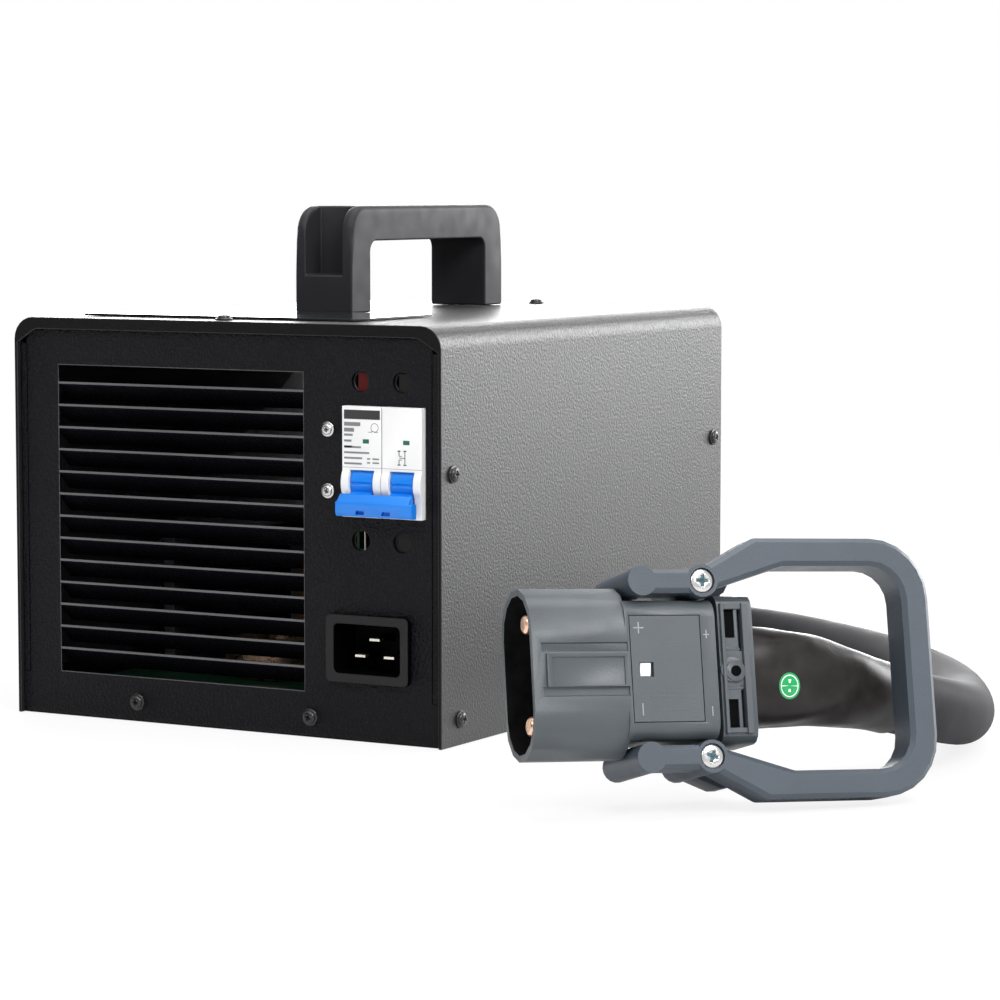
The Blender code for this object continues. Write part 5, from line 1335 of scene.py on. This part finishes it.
@dataclass
class Plug:
    """The battery plug: shroud with its band and frame, label plate, clamp, handle and screws."""

    face: float = 16.0

    def body(self) -> None:
        """Cut the stepped band beside the raised frame into the shroud."""
        skin = Skin("plug_body", 0.0).piece
        cut = PlugPiece("band_cut", "plug_moulding")
        for side in (-1, 1):
            inner, outer = side * 5.95, side * 9.5
            deep = self.face - 0.65
            outline = [
                (deep, inner),
                (deep, outer - side * 0.7),
                (self.face + 1, outer + side * 0.5),
                (self.face + 1, inner),
            ]
            points = [(a * MM, b * MM) for a, b in outline]
            add_prism(cut.shape, points, "X", -34.4 * MM, -3.2 * MM)
        body = carve(skin, cut.done(False))
        bevel(body, 0.4 * MM, 2, 38.0)
        body = settle(body)
        body.name = "look_plug_body"
        shade(body, 32.0)
        back = PlugPlace().matrix().inverted()
        turn = back.to_3x3()
        body.data.materials.clear()
        body.data.materials.append(MATERIALS["plug_moulding"])
        # Painted shade: the inner walls and floor of the mouth are made near-black.
        body.data.materials.append(Void((0.003, 0.003, 0.0032)).material("look_plug_mouth"))
        for face in body.data.polygons:
            spot = back @ face.center
            look = turn @ face.normal
            within = abs(spot.y) < 14.6 * MM and abs(spot.z) < 28.4 * MM
            inward = look.y * spot.y + look.z * spot.z < -0.2 * abs(spot.z) and within
            bottom = look.x > 0.7 and -31 * MM < spot.x < -25 * MM
            if -31 * MM < spot.x < -0.7 * MM and (inward or bottom):
                face.material_index = 1
        self.piece = hand_over(body, "plug_moulding", ["plug_body"])

    def reach(self, node: str, start: float, end: float) -> float:
        """Give how far a node's label side stands off the plug's middle, in mm, between two stations."""
        back = PlugPlace().matrix().inverted()
        places = [back @ v.co for v in frame["nodes"][node].data.vertices]
        return max(p.y for p in places if start * MM <= p.x <= end * MM) / MM

    def marks(self) -> None:
        """Raise the generic plus and minus marks, and plain bars where print was."""
        plate = self.reach("plug_label_plate", -62.0, -35.0)
        body = self.reach("plug_body", -67.0, -60.0)
        marks = PlugPiece("plug_marks", "plug_moulding")
        for low, high, where in (
            ((-40.4, 13.86), (-36.7, 14.24), plate),
            ((-38.74, 12.1), (-38.36, 16.0), plate),
            ((-38.84, -16.0), (-38.46, -11.8), plate),
            ((-64.3, 11.45), (-62.2, 11.75), body),
            ((-63.4, 10.3), (-63.1, 13.2), body),
            ((-64.2, -16.4), (-63.9, -13.2), body),
        ):
            marks.bar((low[0], where - 0.3, low[1]), (high[0], where + 0.14, high[1]))
        piece = marks.done(False)
        piece.data.materials.append(Moulding((0.26, 0.27, 0.28), 0.5).material("look_plug_marks"))
        hand_over(piece, "plug_moulding")
        lines = PlugPiece("plug_lines", "plug_moulding")
        for start, end, where in (
            (-56.5, -47.0, 8.6), (-55.0, -45.5, -8.2), (-58.0, -42.0, -9.9), (-55.5, -44.0, -14.5)
        ):
            lines.bar((start, plate - 0.3, where), (end, plate + 0.1, where + 0.7))
        hand_over(lines.done(False), "plug_moulding")
        key = PlugPiece("label_key", "key_white")
        key.bar((-42.2, plate - 2.0, -2.5), (-38.4, plate - 0.55, 2.0), -0.4)
        hand_over(key.done(False), "key_white")

    def clamp(self) -> None:
        """Add the ribs and braces of the cable clamp over its body."""
        ribs = PlugPiece("clamp_ribs", "plug_moulding")
        high, low = 15.9, 12.6
        ribs.bar((-70.4, low, -22.6), (-69.1, high, 22.6))
        ribs.bar((-79.3, low, -22.6), (-76.9, high, 22.6))
        for side in (-1, 1):
            ribs.bar((-77.0, low, side * 21.4 - 0.9), (-70.2, high - 0.8, side * 21.4 + 0.9))
            ribs.bar((-76.4, low, side * 6.8 - 0.6), (-70.3, high - 1.2, side * 6.8 + 0.6), side * 0.6)
        ribs.disc((-73.7, -1.0), 3.7, low, high - 0.2)
        piece = ribs.done(True, 0.3)
        hand_over(piece, "plug_moulding")
        Skin("cable_clamp", 0.4 * MM)
        # Painted shade: near-black pieces in the clamp's screw hole and in the pockets beside its braces.
        pit = PlugPiece("clamp_hole", "black_plastic")
        pit.disc((-73.7, -1.0), 1.9, high - 0.6, high - 0.1, 24)
        for side in (-1, 1):
            pit.bar((-75.9, low - 0.1, side * 15.2 - 4.9), (-70.7, low + 1.2, side * 15.2 + 4.9))
        hole = pit.done(False)
        hole.data.materials.append(Void().material("look_clamp_void"))
        hand_over(hole, "black_plastic")

    def screws(self) -> None:
        """Set the two bright screws of the handle in their wells, over dark rings of painted shade."""
        axis = (PlugPlace().matrix().to_3x3() @ Vector((0, 1, 0))).normalized()
        nodes = ["handle_screw_1", "handle_screw_2"]
        seats = []
        for node in nodes:
            places = [v.co for v in frame["nodes"][node].data.vertices]
            middle = sum(places, Vector()) / len(places)
            high = max(p.dot(axis) for p in places)
            seats.append(middle + axis * (high - middle.dot(axis) - 1.9 * MM))
        # Painted shade: a near-black ring lies under each screw head.
        wells = bmesh.new()
        for seat in seats:
            spot = Matrix.Translation(
                seat + axis * 0.45 * MM
            ) @ axis.to_track_quat("Z", "Y").to_matrix().to_4x4()
            disc = bmesh.new()
            lathe(disc, [(0.0, -0.4 * MM), (4.85 * MM, -0.4 * MM), (4.85 * MM, 0.0), (0.0, 0.0)], 40)
            disc.transform(spot)
            part = bpy.data.meshes.new("well")
            disc.to_mesh(part)
            disc.free()
            wells.from_mesh(part)
            bpy.data.meshes.remove(part)
        rings = link("handle_wells", wells, False)
        rings.data.materials.append(Void().material("look_well"))
        hand_over(rings, "black_plastic")
        seats = [seat + axis * 0.55 * MM for seat in seats]
        head = PanHead(4.2 * MM, 1.9 * MM, 4.5 * MM, 0.62)
        ScrewSet("handle_screws", nodes, "plated_steel", head, axis, seats)

    def build(self) -> None:
        """Build the plug."""
        self.body()
        self.marks()
        self.clamp()
        self.screws()
        Skin("plug_label_plate", 0.12 * MM)
        Skin("plug_handle", 0.7 * MM, 32.0)
        for node in ("main_pin_1", "main_pin_2"):
            Skin(node, 0.5 * MM)
        Skin("coding_key", 0.2 * MM)


@dataclass
class Case:
    """The folded chassis with its louvres, the cover, the carry handle and the overlay."""

    panel_half: float = 95.2 * MM
    slit_edge: float = 97.8 * MM
    lip_low: float = 18.4 * MM
    lip_pitch: float = 8.95 * MM
    lip_count: int = 13
    lip_span: Point = (-79.5 * MM, 37.3 * MM)
    front: float = -119.2 * MM

    def slits(self) -> None:
        """Narrow the slits beside the front panel, and close them behind with a black sheet of painted shade.
        """
        shape = bmesh.new()
        for side in (-1, 1):
            edges = sorted((side * (self.panel_half - 0.4 * MM), side * self.slit_edge))
            add_block(shape, (edges[0], self.front, 17.2 * MM), (edges[1], self.front + 1.5 * MM, 150.8 * MM))
        strips = link("panel_strips", shape, False)
        # Painted shade: the strips take the chassis' darkened copy of the powder coat.
        strips.data.materials.append(PowderCoat(specular=PANEL_SHEEN, wear=1.0).material("look_strip_coat"))
        hand_over(strips, "powder_coat")
        # Painted shade: a black sheet behind each slit.
        backing = bmesh.new()
        for side in (-1, 1):
            edges = sorted((side * 94.0 * MM, side * 98.3 * MM))
            add_block(
                backing,
                (edges[0], self.front + 3 * MM, 17.8 * MM),
                (edges[1], self.front + 3.4 * MM, 150 * MM),
            )
        hand_over(link("slit_backing", backing, False), "black_plastic")

    def lips(self) -> None:
        """Lay painted highlights on the louvres' lips, one pale strip for each blade, by a Geometry Nodes
        tree.
        """
        strip = bmesh.new()
        add_prism(
            strip,
            [(-0.12 * MM, 0.1 * MM), (0.1 * MM, 0.1 * MM), (0.1 * MM, 0.95 * MM), (-0.12 * MM, 0.95 * MM)],
            "X",
            *self.lip_span,
        )
        piece = link("lip_strip", strip, False)
        mesh = bpy.data.meshes.new("louvre_lips")
        mesh.from_pydata([(0.0, self.front, self.lip_low + self.lip_pitch)], [], [])
        seed = bpy.data.objects.new("louvre_lips", mesh)
        bpy.context.scene.collection.objects.link(seed)
        tree = Tree("lip_rows")
        count = tree.count("Blades", self.lip_count)
        pitch = tree.size("Pitch", self.lip_pitch)
        step = tree.node("ShaderNodeCombineXYZ", {"Z": pitch})
        first = tree.node("ShaderNodeCombineXYZ", {"Y": self.front, "Z": self.lip_low + self.lip_pitch})
        rows = tree.node(
            "GeometryNodeMeshLine",
            {"Count": count, "Start Location": first.outputs[0], "Offset": step.outputs[0]},
        )
        info = tree.node("GeometryNodeObjectInfo", {"Object": piece})
        placed = tree.node(
            "GeometryNodeInstanceOnPoints", {"Points": rows.outputs[0], "Instance": info.outputs["Geometry"]}
        )
        # Painted highlight: the lips' pale colour stands for the light that their edges catch.
        tree.close(
            placed.outputs[0],
            PowderCoat((0.085, 0.085, 0.09), gloss=0.42, depth=0.2 * MM, wear=1.3).material("look_lip"),
        )
        lips = tree.grow("louvre_lips", seed, {"Blades": self.lip_count, "Pitch": self.lip_pitch})
        bpy.data.objects.remove(piece, do_unlink=True)
        hand_over(lips, "powder_coat")
        # Painted highlight: pale lines along the window's top, sides and bottom edges.
        frame_lines = bmesh.new()
        left, right = self.lip_span
        low, top = self.lip_low, self.lip_low + (self.lip_count + 1) * self.lip_pitch - 1.1 * MM
        face, side_face, back = self.front - 0.08 * MM, self.front - 0.06 * MM, self.front + 0.2 * MM
        add_block(frame_lines, (left, face, top - 0.12 * MM), (right, back, top + 0.16 * MM))
        add_block(frame_lines, (left - 0.15 * MM, side_face, low), (left + 0.05 * MM, back, top))
        add_block(frame_lines, (right - 0.05 * MM, side_face, low), (right + 0.15 * MM, back, top))
        add_block(frame_lines, (left, face, low - 0.25 * MM), (right, back, low + 0.1 * MM))
        edges = link("window_edges", frame_lines, False)
        edges.data.materials.append(PowderCoat((0.05, 0.05, 0.055), wear=1.2).material("look_edge_coat"))
        hand_over(edges, "powder_coat")

    def build(self) -> None:
        """Build the case."""
        Skin("chassis", 0.25 * MM, 40.0)
        cover = Skin("cover", 0.3 * MM, 40.0).piece
        # Painted light and shade: the cover's copy of the powder coat is lighter than the chassis' copy, and
        # its faces that look to the front are darkened.
        cover.data.materials.clear()
        cover.data.materials.append(
            PowderCoat(
                (0.011, 0.011, 0.012), gloss=0.40, depth=0.30 * MM, wear=1.5, front_shade_share=0.3
            ).material("look_cover_coat")
        )
        self.lips()
        Skin("carry_handle", 0.8 * MM, 35.0)
        Skin("display_overlay", 0.15 * MM)
        self.slits()


@dataclass
class Inlet:
    """The mains inlet: its rim, its well darkened by painted shade, and the three blades."""

    middle: Point = (67.2 * MM, 36.6 * MM)

    def build(self) -> None:
        """Build the inlet."""
        housing = Skin("inlet_housing", 0.45 * MM).piece
        housing.data.materials.clear()
        housing.data.materials.append(WellPlastic().material("look_inlet"))
        blade = BladeTip().material("look_blade")
        for node in ("inlet_pin_earth", "inlet_pin_line", "inlet_pin_neutral"):
            low, high = corner_box(node)
            rise = (low.z + high.z) / 2
            shape = bmesh.new()
            add_block(shape, (low.x, low.y, rise - 0.55 * MM), (high.x, high.y, rise + 0.55 * MM))
            piece = link("look_" + node, shape, False)
            bevel(piece, 0.15 * MM, 2)
            piece = settle(piece)
            piece.data.materials.append(blade)
            hand_over(piece, "plated_steel", [node])


@dataclass
class Interior:
    """What is seen through the louvres and the rear grille, and the rear fittings."""

    def build(self) -> None:
        """Give the inner and rear pieces their finishes."""
        Skin("fan_rotor", 0.3 * MM, body=Body.FAN)
        rest = [
            "breaker_bracket", "cable_gland", "gland_locknut", "fan_frame", "heatsink_left", "heatsink_right",
            "output_choke", "power_board", "transformer_core", "transformer_winding",
        ]
        rest += [f"board_standoff_{k}" for k in range(1, 5)]
        rest += [f"capacitor_{k}" for k in range(1, 4)]
        # The inner pieces take the palette's darkened finishes: painted shade for the inside of the case.
        for node in rest:
            Skin(node, 0.3 * MM)


@dataclass
class OutputLead:
    """The output cable, its shrink sleeve, and the round sticker on the sleeve."""

    diameter: float = 24 * MM
    gland_place: Place = (-12 * MM, 152.8 * MM, 58 * MM)
    sleeve_length: float = 68 * MM
    sleeve_joint: float = 0.8 * MM
    sleeve_wall: float = 0.9 * MM
    sleeve_height: float = 36 * MM
    sleeve_thick: float = 25 * MM
    clamp_rear: float = 81.2 * MM
    straight: float = 7 * MM
    sides: int = 40
    sticker_place: Vector = field(default_factory=lambda: Vector((0.2647, -0.1638, 0.0420)))
    sticker_radius: float = 3.6 * MM

    def route(self) -> tuple[np.ndarray, np.ndarray]:
        """Give the whole middle line, from the gland to the plug's clamp, and its lengths."""
        points = [self.gland_place]
        points += [tuple(value * MM for value in point) for point in ROUTE]
        frame_of_plug = PlugPlace().matrix()
        for reach in (self.straight, 0.0):
            points.append(tuple(frame_of_plug @ Vector((-self.clamp_rear - GAP - reach, 0, -1.5 * MM))))
        return smooth_line(points)

    def cable(self, line: np.ndarray, lengths: np.ndarray) -> bpy.types.Object:
        end = lengths[-1] - self.sleeve_length - self.sleeve_joint
        stops = np.linspace(0.0, end, 260)
        places = [tuple(float(np.interp(s, lengths, line[:, k])) for k in range(3)) for s in stops]
        mesh = bpy.data.meshes.new("cable_line")
        mesh.from_pydata(places, [(k, k + 1) for k in range(len(places) - 1)], [])
        seed = bpy.data.objects.new("cable_line", mesh)
        bpy.context.scene.collection.objects.link(seed)
        tree = Tree("cable_sweep")
        thick = tree.size("Radius", self.diameter / 2)
        sides = tree.count("Sides", self.sides)
        curve = tree.node("GeometryNodeMeshToCurve", {0: tree.entry.outputs["Geometry"]})
        ring = tree.node(
            "GeometryNodeCurvePrimitiveCircle", {"Resolution": sides, "Radius": thick}, mode="RADIUS"
        )
        tube = tree.node(
            "GeometryNodeCurveToMesh",
            {"Curve": curve.outputs[0], "Profile Curve": ring.outputs[0], "Fill Caps": True},
        )
        tree.close(tube.outputs[0], MATERIALS["cable_jacket"])
        cable = tree.grow("output_lead", seed, {"Radius": self.diameter / 2, "Sides": self.sides})
        shade(cable, 60.0)
        hand_over(cable, "cable_jacket", ["output_cable"])
        self.path = places
        self.length = float(end)
        return cable

    def sleeve(self, line: np.ndarray, lengths: np.ndarray) -> bpy.types.Object:
        """Loft the shrunk sleeve with its folds, thick at the clamp and tight on the cable."""
        turn = PlugPlace().matrix().to_3x3()
        across = turn @ Vector((0, 1, 0))
        whole = lengths[-1]
        stations, around = 64, 72
        shape = bmesh.new()
        rings = []
        for k in range(stations):
            share = k / (stations - 1)
            stop = whole - self.sleeve_length * share
            where, back, ahead = (
                Vector([float(np.interp(stop + shift, lengths, line[:, axis])) for axis in range(3)])
                for shift in (0.0, -2 * MM, 2 * MM)
            )
            along = (ahead - back).normalized() if k else turn @ Vector((1, 0, 0))
            side = (across - along * across.dot(along)).normalized()
            rise = along.cross(side).normalized()
            ease = share * share * (3 - 2 * share)
            snug = self.diameter + 2 * self.sleeve_wall
            width = self.sleeve_thick + (snug - self.sleeve_thick) * ease
            height = self.sleeve_height + (snug - self.sleeve_height) * ease
            fold = 1.0 - share * 0.8
            ring = []
            for j in range(around):
                angle = 2 * pi * j / around
                power = 2.6 - 0.6 * ease
                flat = abs(cos(angle)) ** power + abs(sin(angle)) ** power
                scale = flat ** (-1 / power)
                swirl = angle * 3 + share * 9
                crease = 0.35 * MM * sin(swirl) * fold + 0.22 * MM * sin(angle * 7 - share * 17) * fold
                rough = noise.noise(
                    Vector((cos(angle) * 1.6, sin(angle) * 1.6, share * 5.0))
                ) * 0.8 * MM * fold
                out = crease + rough - 0.4 * MM * fold
                a = (width / 2 + out) * cos(angle) * scale
                b = (height / 2 + out) * sin(angle) * scale
                ring.append(shape.verts.new(where + side * a + rise * b))
            rings.append(ring)
        for first, second in zip(rings, rings[1:]):
            for j in range(around):
                after = (j + 1) % around
                shape.faces.new((first[j], second[j], second[after], first[after]))
        shape.faces.new(rings[0])
        shape.faces.new(list(reversed(rings[-1])))
        sleeve = link("lead_sleeve", shape)
        return hand_over(sleeve, "shrink_sleeve", ["cable_sleeve"])

    def sticker(self, sleeve: bpy.types.Object) -> list[bpy.types.Object]:
        """Lay the round green sticker on the sleeve, with a pale ring and plain marks.

        Args:
            sleeve: the sleeve that it lies on.

        Returns:
            The sticker's fields of colour.
        """
        bpy.context.view_layer.update()
        towards = Vector((-0.4138, 0.8993, -0.1418)).normalized()
        middle = self.sticker_place
        side = towards.cross(Vector((0, 0, 1))).normalized()
        rise = side.cross(towards).normalized()
        made = []
        fields = (
            ("sticker_green", [(0.0, 1.0, 0.0, 2 * pi)], (0.004, 0.30, 0.085), 0.10),
            ("sticker_ring", [(0.76, 0.84, 0.0, 2 * pi)], (0.72, 0.80, 0.72), 0.14),
            (
                "sticker_marks",
                [
                    (0.02, 0.78, -0.05, 0.05),
                    (0.02, 0.78, pi - 0.05, pi + 0.05),
                    (0.22, 0.5, 1.25, 1.85),
                    (0.22, 0.45, 4.4, 5.0),
                ],
                (0.72, 0.80, 0.72),
                0.14,
            ),
        )
        for name, parts, colour, lift in fields:
            shape = bmesh.new()
            for inner, outer, start, end in parts:
                rows, columns = 7, 41 if end > 6 else 6
                grid = []
                for row in range(rows):
                    reach = inner + (outer - inner) * row / (rows - 1)
                    line = []
                    for column in range(columns):
                        angle = start + (end - start) * column / (columns - 1)
                        spot = middle + side * (cos(angle) * reach * self.sticker_radius) + rise * (
                            sin(angle) * reach * self.sticker_radius * 1.28
                        )
                        hit, place, normal, _ = sleeve.ray_cast(spot - towards * 0.1, towards)
                        line.append(shape.verts.new((place if hit else spot) + normal * (lift * MM)))
                    grid.append(line)
                for first, second in zip(grid, grid[1:]):
                    for column in range(columns - 1):
                        shape.faces.new(
                            (first[column], first[column + 1], second[column + 1], second[column])
                        )
            bmesh.ops.remove_doubles(shape, verts=shape.verts, dist=0.02 * MM)
            piece = link(name, shape)
            piece.data.materials.append(Gloss(colour, 0.22).material("look_" + name))
            made.append(hand_over(piece, "shrink_sleeve"))
        return made

    def build(self) -> None:
        """Build the lead."""
        line, lengths = self.route()
        cable = self.cable(line, lengths)
        sleeve = self.sleeve(line, lengths)
        on_it = [sleeve, *self.sticker(sleeve)] + [frame["nodes"][n] for n in ("cable_clamp", "plug_body")]


def main() -> None:
    """Build the studio and every piece, in order."""
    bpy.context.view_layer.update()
    MATERIALS.update(Palette().build())
    Studio().build()
    OutputLead().build()
    Plug().build()
    Case().build()
    Breaker().build()
    Fixings().build()
    Inlet().build()
    Interior().build()


if __name__ == "__main__":
    main()
